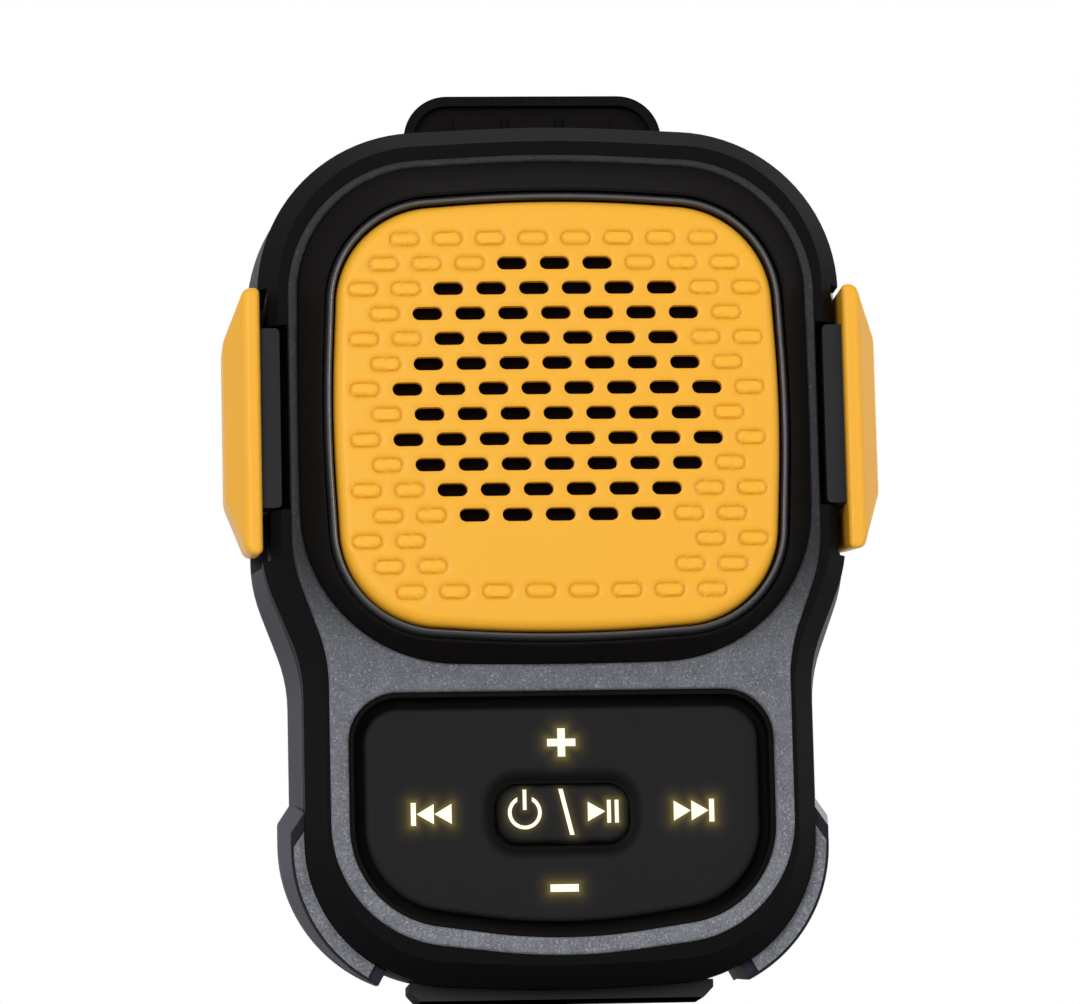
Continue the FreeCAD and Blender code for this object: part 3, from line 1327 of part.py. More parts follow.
def make_dust_cap():
    """A shallow dome over the cone's neck, cut from a ball shell."""
    cap = body("dust_cap")
    radius = "coil_radius + 0.4"
    edge = "basket_front + 4.15"
    revolve(
        cap,
        "cap_profile",
        sharp(
            ("0", f"{edge} - 2.3"),
            ("coil_radius * 0.35", f"{edge} - 2.1"),
            ("coil_radius * 0.7", f"{edge} - 1.35"),
            (radius, edge),
            ("coil_radius * 0.68", f"{edge} - 0.95"),
            ("coil_radius * 0.34", f"{edge} - 1.75"),
            ("0", f"{edge} - 1.95"),
        ),
    )
    return cap


def make_voice_coil():
    coil = body("voice_coil")
    neck = "basket_front + 5.5"
    end = f"{neck} + 4"
    inner = "coil_radius - coil_wall"
    revolve(coil, "coil_profile", sharp((inner, neck), ("coil_radius", neck), ("coil_radius", end), (inner, end)))
    return coil


def make_driver_spider():
    """The flat centring ring between the voice coil and the basket's back plate."""
    spider = body("driver_spider")
    ledge = "basket_back - 0.7"
    inner = "coil_radius + 0.05"
    revolve(
        spider,
        "spider_profile",
        sharp(
            (inner, f"{ledge} - 0.45"),
            ("basket_radius - 6.6", f"{ledge} - 0.45"),
            ("basket_radius - 6.6", ledge),
            ("basket_radius - 7.8", ledge),
            ("basket_radius - 7.8", f"{ledge} - 0.1"),
            (inner, f"{ledge} - 0.1"),
        ),
    )
    return spider


def make_top_plate():
    plate = body("top_plate")
    end = "basket_back + top_plate_thickness"
    inner = "coil_radius + magnet_gap"
    outer = "magnet_radius - 0.4"
    revolve(
        plate,
        "top_plate_profile",
        sharp((inner, "basket_back"), (outer, "basket_back"), (outer, end), (inner, end)),
    )
    return plate


def make_driver_magnet():
    magnet = body("driver_magnet")
    start = "basket_back + top_plate_thickness"
    end = f"{start} + magnet_thickness"
    inner = "coil_radius + magnet_gap + 1.1"
    revolve(
        magnet,
        "magnet_profile",
        sharp((inner, start), ("magnet_radius", start), ("magnet_radius", end), (inner, end)),
    )
    return magnet


def make_driver_yoke():
    """The back plate with the pole that stands inside the voice coil."""
    yoke = body("driver_yoke")
    start = "basket_back + top_plate_thickness + magnet_thickness"
    end = f"{start} + yoke_thickness"
    pole = "coil_radius - coil_wall - magnet_gap"
    outer = "magnet_radius - 0.4"
    revolve(
        yoke,
        "yoke_profile",
        sharp(("0", "basket_back + 0.2"), (pole, "basket_back + 0.2"), (pole, start), (outer, start), (outer, end), ("0", end)),
    )
    return yoke


def make_driver_gasket():
    gasket = body("driver_gasket")
    start = "basket_front + basket_sheet"
    inner = "basket_hole + fit_gap"
    revolve(
        gasket,
        "driver_gasket_profile",
        sharp((inner, start), ("basket_radius", start), ("basket_radius", "bezel_floor"), (inner, "bezel_floor")),
    )
    return gasket


def make_terminal_block():
    """The soldering strip at the lower side of the basket."""
    block = body("terminal_block")
    top = "-basket_radius + 1.6 + terminal_height"
    strip = rectangle("-terminal_half_width", "terminal_half_width", "-basket_radius + 1.6", top)
    pad(outline(block, "terminal_face", "front", "terminal_front", strip), "terminal_thickness")
    return block


# Side pads, their rails and springs


def make_side_pad(name, side):
    """A squeeze pad with a sloped facet at each end, front and back, and a bottom that rises to the back."""
    block = body(f"side_pad_{name}")
    profile = sharp(
        (f"{side}pad_inner", "pad_top"),
        (f"{side}pad_shoulder", "pad_top"),
        (f"{side}pad_face", "pad_top - pad_facet"),
        (f"{side}pad_face", "-pad_bottom + pad_low_facet"),
        (f"{side}pad_shoulder", "-pad_bottom"),
        (f"{side}pad_inner", "-pad_bottom"),
    )
    pad(outline(block, f"pad_profile_{name}", "front", "pad_nose", profile), "pad_tail - pad_nose")
    facets = {
        "nose": ("pad_nose", "pad_nose + pad_front_facet", "pad_nose - 1"),
        "tail": ("pad_tail", "pad_tail - pad_back_facet", "pad_tail + 1"),
    }
    for end, (start, finish, beyond) in facets.items():
        wedge = sharp(
            (f"{side}pad_shoulder", start),
            (f"{side}pad_face", finish),
            (f"{side}(pad_face + 1)", finish),
            (f"{side}(pad_face + 1)", beyond),
            (f"{side}pad_shoulder", beyond),
        )
        pocket(outline(block, f"pad_{end}_{name}", "top", "0", wedge), "(pad_top + pad_bottom) * 2", "both")
    undercut = sharp(
        ("pad_nose + pad_front_facet", "-pad_bottom - 1"),
        ("pad_nose + pad_front_facet", "-pad_bottom"),
        ("pad_tail + 1", "-pad_bottom + pad_undercut"),
        ("pad_tail + 1", "-pad_bottom - 1"),
    )
    pocket(outline(block, f"pad_undercut_{name}", "side", "0", undercut), "pad_face * 4", "both")
    return block


def make_side_rail(name, side):
    """The strip beside a pad that shows in the bumper's notch and moves with the pad."""
    rail = body(f"side_rail_{name}")
    face = [
        (f"{side}rail_inner", "rail_top", "rail_round"),
        (f"{side}pad_inner", "rail_top", "0"),
        (f"{side}pad_inner", "-rail_bottom", "0"),
        (f"{side}rail_inner", "-rail_bottom", "rail_round"),
    ]
    pad(outline(rail, f"rail_face_{name}", "front", "rail_front", face), "rail_back - rail_front")
    return rail


def make_pad_springs(name, side):
    """Two small coil springs that push a side pad out, drawn as plain sleeves."""
    sleeves = []
    length = "pad_spring_socket + pad_travel"
    for level, sign in (("upper", ""), ("lower", "-")):
        start = "pad_inner - pad_travel - pad_spring_socket"
        if side:
            start = "-pad_inner"
        place = (start, "pad_spring_depth", f"{sign}pad_spring_z")
        outer = rod(f"pad_spring_{level}_{name}", "x", *place, "pad_spring_radius", length)
        bore = rod(f"pad_spring_bore_{level}_{name}", "x", *place, "pad_spring_radius / 2", length)
        sleeves.append(cut(f"pad_sleeve_{level}_{name}", outer, bore))
    return gather(f"pad_springs_{name}", sleeves)


# Corner guards


def guard_outline(side, spread="0", lift="0", rim="0", top="guard_top"):
    """The outer edge of a guard, closed through the body that the guard wraps."""
    face = f"guard_half_width + ({spread}) - ({rim})"
    low = f"-guard_bottom + ({lift}) + ({rim})"
    inner = "guard_half_width / 4"
    return [
        (f"{side}({inner})", low, "0"),
        (f"{side}({face})", low, f"guard_radius - ({rim})"),
        (f"{side}({face})", f"-{top} - guard_slant", "0"),
        (f"{side}({face} - guard_slant * 2 / 3)", f"-{top}", "0"),
        (f"{side}({inner})", f"-{top}", "0"),
    ]


def trim_guard(owner, name, side, end):
    """Cuts off a guard, or its inlay, toward the middle, along a slanted line."""
    off = sharp(
        (f"{side}({end} - end_slant)", "-guard_bottom + guard_slant * 2"),
        (f"{side}({end} + end_slant)", "-guard_bottom - 1"),
        ("0", "-guard_bottom - 1"),
        ("0", "-guard_top + guard_rise + 1"),
        (f"{side}({end} - end_slant)", "-guard_top + guard_rise + 1"),
    )
    pocket(outline(owner, name, "front", "0", off), "guard_back + 1")


def make_corner_guard(name, side):
    """A bumper that wraps a lower corner, spreads toward the back and is pegged to the housing."""
    guard = body(f"corner_guard_{name}")
    spread = guard_outline(side, "guard_flare", "guard_lift", top="(guard_top - guard_rise)")
    frustum(guard, f"guard_spread_{name}", "flare_depth", spread, "guard_front", guard_outline(side))
    pad(outline(guard, f"guard_side_{name}", "front", "flare_depth", spread), "guard_back - flare_depth")
    inlay_seat = guard_outline(side, rim="inlay_rim", top="inlay_top")
    pocket(outline(guard, f"guard_step_{name}", "front", "guard_front - 1", inlay_seat), "inlay_depth + 1")
    trim_guard(guard, f"guard_end_{name}", side, "guard_end")
    pocket(outline(guard, f"guard_bumper_{name}", "front", "0", band_outline("fit_gap")), "band_back")
    slim = housing_outline("fit_gap", "housing_flare")
    full = housing_outline("fit_gap")
    frustum(guard, f"guard_housing_{name}", "flare_depth", full, "band_back", slim, "Subtractive")
    pocket(outline(guard, f"guard_back_{name}", "front", "flare_depth", full), "guard_back - flare_depth + 1")
    pegs = circles(guard, f"pegs_{name}", "side", f"{side}peg_tip", PEG_PLACES, "peg_radius")
    pad(pegs, "housing_keypad_half_width + fit_gap * 2 - peg_tip", "left" if side else "right")
    return guard


def make_guard_inlay(name, side):
    """The textured strip in a guard's front."""
    inlay = body(f"guard_inlay_{name}")
    strip = guard_outline(side, rim="inlay_rim + fit_gap", top="inlay_top")
    pad(outline(inlay, f"inlay_face_{name}", "front", "guard_front", strip), "inlay_depth - fit_gap")
    trim_guard(inlay, f"inlay_end_{name}", side, "inlay_end")
    pocket(outline(inlay, f"inlay_bumper_{name}", "front", "0", band_outline("fit_gap * 2")), "band_back")
    return inlay


# Base foot with the charging port


def make_base_foot():
    """The foot under the body, cut at a slant at its ends, with the port's opening."""
    foot = body("base_foot")
    block = rectangle("-foot_half_width", "foot_half_width", "foot_front", "foot_back", "foot_notch")
    pad(outline(foot, "foot_block", "top", "-foot_bottom", block), "foot_bottom - housing_bottom", "up")
    for name, side in SIDES.items():
        notch = sharp(
            (f"{side}(foot_half_width - foot_notch - 1)", "-foot_bottom - 1"),
            (f"{side}(foot_half_width + 1)", "-foot_bottom + foot_notch + 1"),
            (f"{side}(foot_half_width + 1)", "-foot_bottom - 1"),
        )
        pocket(outline(foot, f"foot_notch_{name}", "front", "0", notch), "foot_back + 1")
    opening = rectangle(
        "-port_half_width - port_cover_gap",
        "port_half_width + port_cover_gap",
        "port_cover_front - port_cover_gap",
        "port_hinge_depth + port_barrel_radius + port_cover_gap",
    )
    pocket(outline(foot, "foot_opening", "top", "-housing_bottom + 1", opening), "foot_bottom", "down")
    hole = circle(foot, "foot_pin_hole", "side", "0", "port_hinge_depth", PORT_HINGE_Z, "port_pin_radius + fit_gap")
    pocket(hole, "(port_half_width + port_cover_gap) * 2 + port_pin_reach * 2", "both")
    return foot


PORT_HINGE_Z = "-foot_bottom + port_lift + port_barrel_radius"


def make_port_cover():
    """A flap over the charging socket, with a hinge barrel at its back and a plug on its inside."""
    cover = body("port_cover")
    plate = rectangle("-port_half_width", "port_half_width", "port_cover_front", "port_hinge_depth")
    pad(outline(cover, "cover_plate", "top", "-foot_bottom + port_lift", plate), "port_cover_thickness", "up")
    barrel = circle(cover, "cover_barrel", "side", "-port_half_width", "port_hinge_depth", PORT_HINGE_Z, "port_barrel_radius")
    pad(barrel, "port_half_width * 2", "right")
    plug = rectangle(
        "-usb_width / 2 + plug_margin",
        "usb_width / 2 - plug_margin",
        "port_depth - usb_height / 2 + plug_margin",
        "port_depth + usb_height / 2 - plug_margin",
    )
    inside = "-foot_bottom + port_lift + port_cover_thickness"
    pad(outline(cover, "cover_plug", "top", inside, plug), "plug_height", "up")
    bore = circle(cover, "cover_bore", "side", "0", "port_hinge_depth", PORT_HINGE_Z, "port_pin_radius + fit_gap")
    pocket(bore, "port_half_width * 2 + 1", "both")
    return cover


def make_port_pin():
    half = "(port_half_width + port_cover_gap + port_pin_reach - fit_gap)"
    pin = body("port_pin")
    end = circle(pin, "port_pin_end", "side", f"-{half}", "port_hinge_depth", PORT_HINGE_Z, "port_pin_radius")
    pad(end, f"{half} * 2", "right")
    return pin


def make_usb_socket():
    """The charging socket's shell with its tongue."""
    socket = body("usb_c_socket")
    edges = ("-usb_width / 2", "usb_width / 2", "port_depth - usb_height / 2", "port_depth + usb_height / 2")
    shell = rectangle(*edges, "usb_height / 2 - usb_wall")
    pad(outline(socket, "usb_shell", "top", "-usb_mouth", shell), "usb_length", "up")
    inner = rectangle(
        "-usb_width / 2 + usb_wall",
        "usb_width / 2 - usb_wall",
        "port_depth - usb_height / 2 + usb_wall",
        "port_depth + usb_height / 2 - usb_wall",
        "usb_height / 2 - usb_wall * 2",
    )
    pocket(outline(socket, "usb_inside", "top", "-usb_mouth", inner), "usb_length - usb_wall * 3", "up")
    tongue = rectangle(
        "-usb_tongue_width / 2",
        "usb_tongue_width / 2",
        "port_depth - usb_tongue_thickness / 2",
        "port_depth + usb_tongue_thickness / 2",
    )
    root = "-usb_mouth + usb_length - usb_wall"
    pad(outline(socket, "usb_tongue", "top", root, tongue), "usb_length - usb_wall * 3", "down")
    return socket


def make_charge_board():
    board = body("charge_board")
    edges = ("-charge_board_half_width", "charge_board_half_width", "-inside_bottom + fit_gap", "-charge_board_top")
    face = outline(board, "charge_board_face", "front", "charge_board_front", rectangle(*edges))
    pad(face, "housing_back - wall - fit_gap - charge_board_front")
    return board


# Battery and leads


def make_battery():
    battery = body("battery")
    edges = ("-battery_half_width", "battery_half_width", "-battery_bottom", "-battery_top")
    pad(outline(battery, "battery_face", "front", "battery_front", rectangle(*edges, "tape_margin / 2")), BATTERY_THICKNESS)
    return battery


BATTERY_THICKNESS = "battery_back - battery_front"


def make_battery_tape():
    """Foam tape that holds the battery to the housing's back wall."""
    tape = body("battery_tape")
    levels = ("-battery_bottom + tape_margin", "-battery_top - tape_margin")
    face = outline(tape, "tape_face", "front", "battery_back", rectangle("-tape_half_width", "tape_half_width", *levels))
    pad(face, "housing_back - wall - battery_back")
    return tape


LEAD_BEND = 0.45


def lead(points, radius):
    """A tube along straight runs joined by tangent arcs as large as the runs allow."""
    edges = []
    start = points[0]
    for before, corner, after in zip(points, points[1:], points[2:]):
        inward = (before - corner).normalize()
        outward = (after - corner).normalize()
        reach = LEAD_BEND * min((before - corner).Length, (after - corner).Length)
        half = inward.getAngle(outward) / 2
        centre = corner + (inward + outward).normalize() * (reach / math.cos(half))
        middle = centre + (corner - centre).normalize() * (reach * math.tan(half))
        edges.append(Part.LineSegment(start, corner + inward * reach).toShape())
        edges.append(Part.Arc(corner + inward * reach, middle, corner + outward * reach).toShape())
        start = corner + outward * reach
    edges.append(Part.LineSegment(start, points[-1]).toShape())
    path = Part.Wire(edges)
    ring = Part.Wire(Part.makeCircle(radius, points[0], points[1] - points[0]))
    tube = path.makePipeShell([ring], True, False)
    expected = math.pi * radius**2 * path.Length
    if abs(tube.Volume - expected) > expected / 100:
        raise RuntimeError("a lead's tube doesn't follow its path")
    return tube


def make_speaker_leads():
    """From the loudspeaker's terminal block down to the keypad board's top edge."""
    tubes = []
    for side in (-1, 1):
        x = side * value("lead_spacing")
        front = value("terminal_front + terminal_thickness / 2")
        back = value("board_front + board_thickness / 2")
        top = value("-basket_radius + 1.6")
        bottom = value("-recess_top - pad_gap - board_inset")
        drop = (top - bottom) / 4
        points = [(front, top), (front, top - drop), (back, bottom + drop), (back, bottom)]
        tubes.append(lead([FreeCAD.Vector(x, depth, z) for depth, z in points], value("lead_radius")))
    return solid_from("speaker_leads", Part.makeCompound(tubes))


def make_battery_leads():
    """From the battery's lower edge to the charge board's face."""
    tubes = []
    for side in (-1, 1):
        x = side * value("lead_spacing")
        depth = value("(battery_front + battery_back) / 2")
        low = value("-(charge_board_top + usb_mouth - usb_length) / 2")
        points = [(depth, -value("battery_bottom")), (depth, low), (value("charge_board_front"), low)]
        tubes.append(lead([FreeCAD.Vector(x, place, z) for place, z in points], value("lead_radius")))
    return solid_from("battery_leads", Part.makeCompound(tubes))


# Clip


def knuckle(owner, name, left, front, back, front_rounded):
    """A lug of one width round the clip's pin, reaching from one depth to another."""
    rounding = "knuckle_radius - fit_gap"
    front_round, back_round = (rounding, "0") if front_rounded else ("0", rounding)
    profile = [
        (front, "pivot_z - knuckle_radius", front_round),
        (back, "pivot_z - knuckle_radius", back_round),
        (back, "pivot_z + knuckle_radius", back_round),
        (front, "pivot_z + knuckle_radius", front_round),
    ]
    return outline(owner, name, "side", left, profile)


def make_clip_base():
    """A plate on the housing's back with two ears for the clip's pin."""
    base = body("clip_base")
    edges = ("-base_half_width", "base_half_width", "base_bottom", "base_top")
    plate = outline(base, "base_plate", "front", "housing_back", rectangle(*edges, "knuckle_radius"))
    pad(plate, "base_thickness")
    for name, start in (("right", "ear_inner"), ("left", "-ear_outer")):
        ear = knuckle(base, f"ear_{name}", start, "housing_back + base_thickness / 2", "pivot_back + knuckle_radius", False)
        pad(ear, "ear_outer - ear_inner", "right")
    bore = circle(base, "ear_bore", "side", "0", "pivot_back", "pivot_z", "pin_radius + pin_clearance / 2")
    pocket(bore, "ear_outer * 2 + 1", "both")
    hole = "clip_screw_radius + screw_clearance"
    pocket(circles(base, "base_holes", "front", "0", CLIP_SCREW_PLACES, hole), "pivot_back")
    return base


def make_clip_pin():
    pin = body("clip_pin")
    end = circle(pin, "clip_pin_end", "side", "-ear_outer", "pivot_back", "pivot_z", "pin_radius")
    pad(end, "ear_outer * 2", "right")
    return pin


def make_clip_arm():
    """The lever: thumb tab above, hinge knuckles in a pocket, magnet pockets and a jaw below."""
    arm = body("clip_arm")
    half = [
        ("arm_half_width", "arm_top", "arm_top_radius"),
        ("arm_half_width", "tab_bottom", "arm_top_radius * 2"),
        ("arm_waist_half_width", "arm_waist_top", "arm_top_radius * 2"),
        ("arm_waist_half_width", "-arm_bottom", "arm_bottom_radius"),
    ]
    pad(outline(arm, "arm_plate", "front", "arm_front", mirrored(half)), "arm_thickness")
    tab = rectangle("-arm_half_width", "arm_half_width", "tab_bottom", "arm_top", "arm_top_radius")
    pad(outline(arm, "arm_tab", "front", "tab_front", tab), "arm_front - tab_front + 1")
    recess = rectangle(
        "-arm_half_width + tab_rim",
        "arm_half_width - tab_rim",
        "tab_recess_bottom",
        "arm_top - tab_rim",
        "arm_top_radius - tab_rim",
    )
    pocket(outline(arm, "tab_recess_edge", "front", "tab_front", recess), "tab_recess")
    blocks = []
    for place in (-1, 0, 1):
        centre = f"{place} * (tab_block_width + tab_block_gap)"
        edges = (f"{centre} - tab_block_width / 2", f"{centre} + tab_block_width / 2")
        levels = ("tab_recess_bottom + tab_rim", "arm_top - tab_rim * 2")
        blocks.append(rectangle(*edges, *levels, "tab_block_gap / 2"))
    block_front = "tab_front + tab_recess - tab_block_height"
    pad(outlines(arm, "tab_blocks", "front", block_front, blocks), "arm_front + arm_thickness / 2 - tab_front")
    jaw = rectangle("-jaw_half_width", "jaw_half_width", "-arm_bottom", "-arm_bottom + jaw_height", "jaw_gap * 2")
    pad(outline(arm, "arm_jaw", "front", "housing_back + jaw_gap + jaw_pad_thickness", jaw), "arm_front - housing_back")
    room = rectangle(
        "-ear_outer - knuckle_gap",
        "ear_outer + knuckle_gap",
        "pivot_z - knuckle_radius - hinge_room",
        "pivot_z + knuckle_radius + hinge_room",
    )
    pocket(outline(arm, "hinge_pocket", "front", "arm_front", room), "hinge_pocket_depth")
    leg_room = rectangle("-knuckle_inner", "knuckle_inner", "pivot_z", "pivot_z + leg_length + spring_wire + hinge_room")
    pocket(outline(arm, "spring_leg_pocket", "front", "tab_front", leg_room), HINGE_FLOOR + " - tab_front")
    for name, start in (("right", "knuckle_inner"), ("left", "-ear_inner + knuckle_gap")):
        lug = knuckle(arm, f"lug_{name}", start, "pivot_back - knuckle_radius", HINGE_FLOOR + " + 0.5", True)
        pad(lug, "ear_inner - knuckle_gap - knuckle_inner", "right")
    bore = circle(arm, "lug_bore", "side", "0", "pivot_back", "pivot_z", "pin_radius + pin_clearance")
    pocket(bore, "ear_inner * 2", "both")
    seats = circles(arm, "magnet_seats", "front", MAGNET_FRONT, CLIP_MAGNET_PLACES, "clip_magnet_radius + fit_gap")
    pocket(seats, "clip_magnet_height + 1")
    ribs = []
    for step in range(GRIP_RIBS):
        low = f"grip_first + {step} * grip_pitch"
        ribs.append(rectangle("-grip_half_length", "grip_half_length", low, f"{low} + grip_width", "grip_width / 4"))
    pad(outlines(arm, "grip_ribs", "front", "arm_front + arm_thickness / 2", ribs), GRIP_REACH)
    return arm


HINGE_FLOOR = "(arm_front + hinge_pocket_depth)"
GRIP_REACH = "arm_thickness / 2 + grip_height"
MAGNET_FRONT = "arm_front + arm_thickness - clip_magnet_height"


GRIP_RIBS = 5
CLIP_MAGNET_PLACES = [
    ("0", "-clip_magnet_centre + clip_magnet_spacing / 2"),
    ("0", "-clip_magnet_centre - clip_magnet_spacing / 2"),
]


def make_clip_magnets():
    discs = []
    for number, (x, z) in enumerate(CLIP_MAGNET_PLACES, start=1):
        discs.append(
            rod(f"clip_magnet_{number}", "depth", x, MAGNET_FRONT, z, "clip_magnet_radius", "clip_magnet_height")
        )
    return gather("clip_magnets", discs)


def make_magnet_pad():
    """The rubber pad over the magnets that touches the surface it is stuck to."""
    cover = body("magnet_pad")
    low = "-clip_magnet_centre - magnet_pad_half_height"
    high = "-clip_magnet_centre + magnet_pad_half_height"
    edges = rectangle("-magnet_pad_half_width", "magnet_pad_half_width", low, high, "magnet_pad_radius")
    pad(outline(cover, "magnet_pad_face", "front", "arm_front + arm_thickness", edges), "magnet_pad_thickness")
    return cover


def make_jaw_pad():
    """The rubber lip on the jaw's front."""
    cover = body("jaw_pad")
    edges = rectangle("-jaw_half_width", "jaw_half_width", "-arm_bottom", "-arm_bottom + jaw_height", "jaw_gap * 2")
    pad(outline(cover, "jaw_pad_face", "front", "housing_back + jaw_gap", edges), "jaw_pad_thickness")
    return cover


def biarc(start, start_way, end, end_way):
    """Two tangent arcs from one point and direction to another."""
    span = end - start
    ways = start_way + end_way
    straight = 4 - ways.dot(ways)
    along = span.dot(ways)
    reach = (math.sqrt(along**2 + straight * span.dot(span)) - along) / straight
    first = start + start_way * reach
    second = end - end_way * reach
    joint = (first + second) / 2
    return [arc_through(start, first, joint), arc_through(joint, second, end)]


def arc_through(start, corner, end):
    """The arc from start to end whose end tangents meet at the corner."""
    chord_middle = (start + end) / 2
    half_chord = (end - start).Length / 2
    height = corner - chord_middle
    sagitta = half_chord * math.tan(math.atan2(height.Length, half_chord) / 2)
    return Part.Arc(start, chord_middle + height.normalize() * sagitta, end).toShape()


def spring_station(quarter, quarters):
    """Point and direction of the clip spring's coil at a quarter turn, counted from its first leg."""
    radius = value("spring_radius")
    pitch = value("spring_pitch")
    angle = quarter * math.pi / 2
    x = pitch * (quarter - quarters / 2) / 4
    place = FreeCAD.Vector(x, value("pivot_back") - radius * math.cos(angle), value("pivot_z") - radius * math.sin(angle))
    lift = 0 if quarter in (0, quarters) else pitch / (2 * math.pi)
    way = FreeCAD.Vector(lift, radius * math.sin(angle), -radius * math.cos(angle)).normalize()
    return place, way


def make_clip_spring():
    """A torsion spring round the pin: one leg along the base plate, one along the arm."""
    quarters = round(value("spring_turns")) * 4 + 2
    stations = [spring_station(quarter, quarters) for quarter in range(quarters + 1)]
    leg = value("leg_length")
    up = FreeCAD.Vector(0, 0, leg)
    edges = [Part.LineSegment(stations[0][0] + up, stations[0][0]).toShape()]
    for (start, start_way), (end, end_way) in zip(stations, stations[1:]):
        edges += biarc(start, start_way, end, end_way)
    edges.append(Part.LineSegment(stations[-1][0], stations[-1][0] + up).toShape())
    path = Part.Wire(edges)
    wire = value("spring_wire")
    ring = Part.Wire(Part.makeCircle(wire, stations[0][0] + up, FreeCAD.Vector(0, 0, -1)))
    print("clip spring: least gap between turns", round(spring_gap(edges, wire), 3))
    return solid_from("clip_spring", path.makePipeShell([ring], True, False))


def spring_gap(edges, wire):
    """Least gap between the wire's turns, measured on points a turn or so apart."""
    points = []
    for edge in edges:
        points += edge.discretize(5)[:-1]
    per_turn = 32
    gap = math.inf
    for index, point in enumerate(points):
        for other in points[index + per_turn // 2 :]:
            gap = min(gap, (point - other).Length - 2 * wire)
    return gap


# Screws


def screws(label, places, tip, head_front, radius, head_radius, head_height):
    """Like screws along the depth, each a shank with a round head behind it."""
    solids = []
    for number, (x, z) in enumerate(places, start=1):
        shank = rod(f"{label}_shank_{number}", "depth", x, tip, z, radius, f"{head_front} + {head_height} / 2 - ({tip})")
        head = rod(f"{label}_head_{number}", "depth", x, head_front, z, head_radius, head_height)
        solids.append(fuse(f"{label}_{number}", [shank, head]))
    return gather(label, solids)


def make_housing_screws():
    """Four screws from the housing's back into the chassis' bosses."""
    tip = "frame_back + boss_floor + screw_clearance * 4"
    head_front = "housing_back - screw_head_height - screw_sink"
    sizes = ("screw_radius", "screw_head_radius", "screw_head_height")
    return screws("housing_screws", SCREW_PLACES, tip, head_front, *sizes)


def make_clip_screws():
    """Four screws that hold the clip base to the housing."""
    tip = "housing_back - wall + clip_screw_end"
    sizes = ("clip_screw_radius", "clip_screw_head", "clip_screw_head_height")
    return screws("clip_screws", CLIP_SCREW_PLACES, tip, "housing_back + base_thickness", *sizes)


# The whole speaker


def make_pieces():
    rocker_icons = make_rocker_icons()
    key_icons = make_key_icons()
    pieces = [
        make_grille(),
        make_trim_ring(),
        make_speaker_bezel(),
        make_dust_screen(),
        make_front_frame(),
        make_front_bumper(),
        make_inner_chassis(),
        make_rear_housing(),
        make_housing_gasket(),
        make_keypad_tray(),
        make_rocker_pad(rocker_icons),
        rocker_icons,
        make_rocker_ring(),
        make_key_seal(),
        make_centre_key(key_icons),
        key_icons,
        make_keypad_board(),
        make_tact_switches(),
        make_keypad_lights(),
        make_driver_basket(),
        make_driver_surround(),
        make_driver_cone(),
        make_dust_cap(),
        make_voice_coil(),
        make_driver_spider(),
        make_top_plate(),
        make_driver_magnet(),
        make_driver_yoke(),
        make_driver_gasket(),
        make_terminal_block(),
    ]
    for name, side in SIDES.items():
        pieces += [
            make_side_pad(name, side),
            make_side_rail(name, side),
            make_pad_springs(name, side),
            make_corner_guard(name, side),
            make_guard_inlay(name, side),
        ]
    pieces += [
        make_base_foot(),
        make_port_cover(),
        make_port_pin(),
        make_usb_socket(),
        make_charge_board(),
        make_battery(),
        make_battery_tape(),
        make_speaker_leads(),
        make_battery_leads(),
        make_clip_base(),
        make_clip_pin(),
        make_clip_arm(),
        make_clip_magnets(),
        make_magnet_pad(),
        make_jaw_pad(),
        make_clip_spring(),
        make_housing_screws(),
        make_clip_screws(),
    ]
    return pieces


def check(pieces):
    """Stops if any step of the document failed or a piece's shape isn't whole."""
    failed = [thing.Label for thing in doc.Objects if "Invalid" in thing.State or "Error" in thing.State]
    if failed:
        raise RuntimeError(f"these didn't build: {failed}")
    for piece in pieces:
        if piece.Shape.isNull() or not piece.Shape.isValid() or piece.Shape.Volume <= 0:
            raise RuntimeError(f"{piece.Label} has no sound shape")
        if piece.TypeId == "PartDesign::Body" and len(piece.Shape.Solids) != 1:
            raise RuntimeError(f"{piece.Label} fell into {len(piece.Shape.Solids)} solids")


pieces = make_pieces()
for piece in pieces:
    seat(piece)
doc.recompute()
check(pieces)
os.makedirs("parts", exist_ok=True)
for piece in pieces:
    piece.Shape.exportStep(f"parts/{piece.Label}.step")
print(len(pieces), "pieces")
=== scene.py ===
import json
import math

import bpy
import numpy as np
from bpy.props import FloatProperty, FloatVectorProperty, PointerProperty
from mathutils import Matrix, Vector


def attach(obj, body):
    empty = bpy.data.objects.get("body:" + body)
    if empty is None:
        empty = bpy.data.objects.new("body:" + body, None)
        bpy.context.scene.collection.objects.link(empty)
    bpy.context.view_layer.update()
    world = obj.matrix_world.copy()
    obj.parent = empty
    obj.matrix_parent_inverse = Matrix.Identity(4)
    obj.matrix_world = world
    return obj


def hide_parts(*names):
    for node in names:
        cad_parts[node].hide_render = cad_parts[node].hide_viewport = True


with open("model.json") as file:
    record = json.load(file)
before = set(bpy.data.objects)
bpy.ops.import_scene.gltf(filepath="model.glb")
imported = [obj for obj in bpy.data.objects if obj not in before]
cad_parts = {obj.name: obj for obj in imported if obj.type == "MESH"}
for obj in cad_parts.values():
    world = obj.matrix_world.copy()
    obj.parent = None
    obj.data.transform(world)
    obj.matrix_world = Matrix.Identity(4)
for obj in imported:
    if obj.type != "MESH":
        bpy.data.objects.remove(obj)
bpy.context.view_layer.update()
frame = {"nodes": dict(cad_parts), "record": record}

bl_info = {
    "name": "Clip-on bluetooth speaker",
    "version": (1, 0, 0),
    "blender": (4, 5, 0),
    "location": "3D View > Sidebar > Speaker",
    "description": "Dresses the packed solids of a small clip-on speaker and sets them in a studio",
    "category": "Object",
}

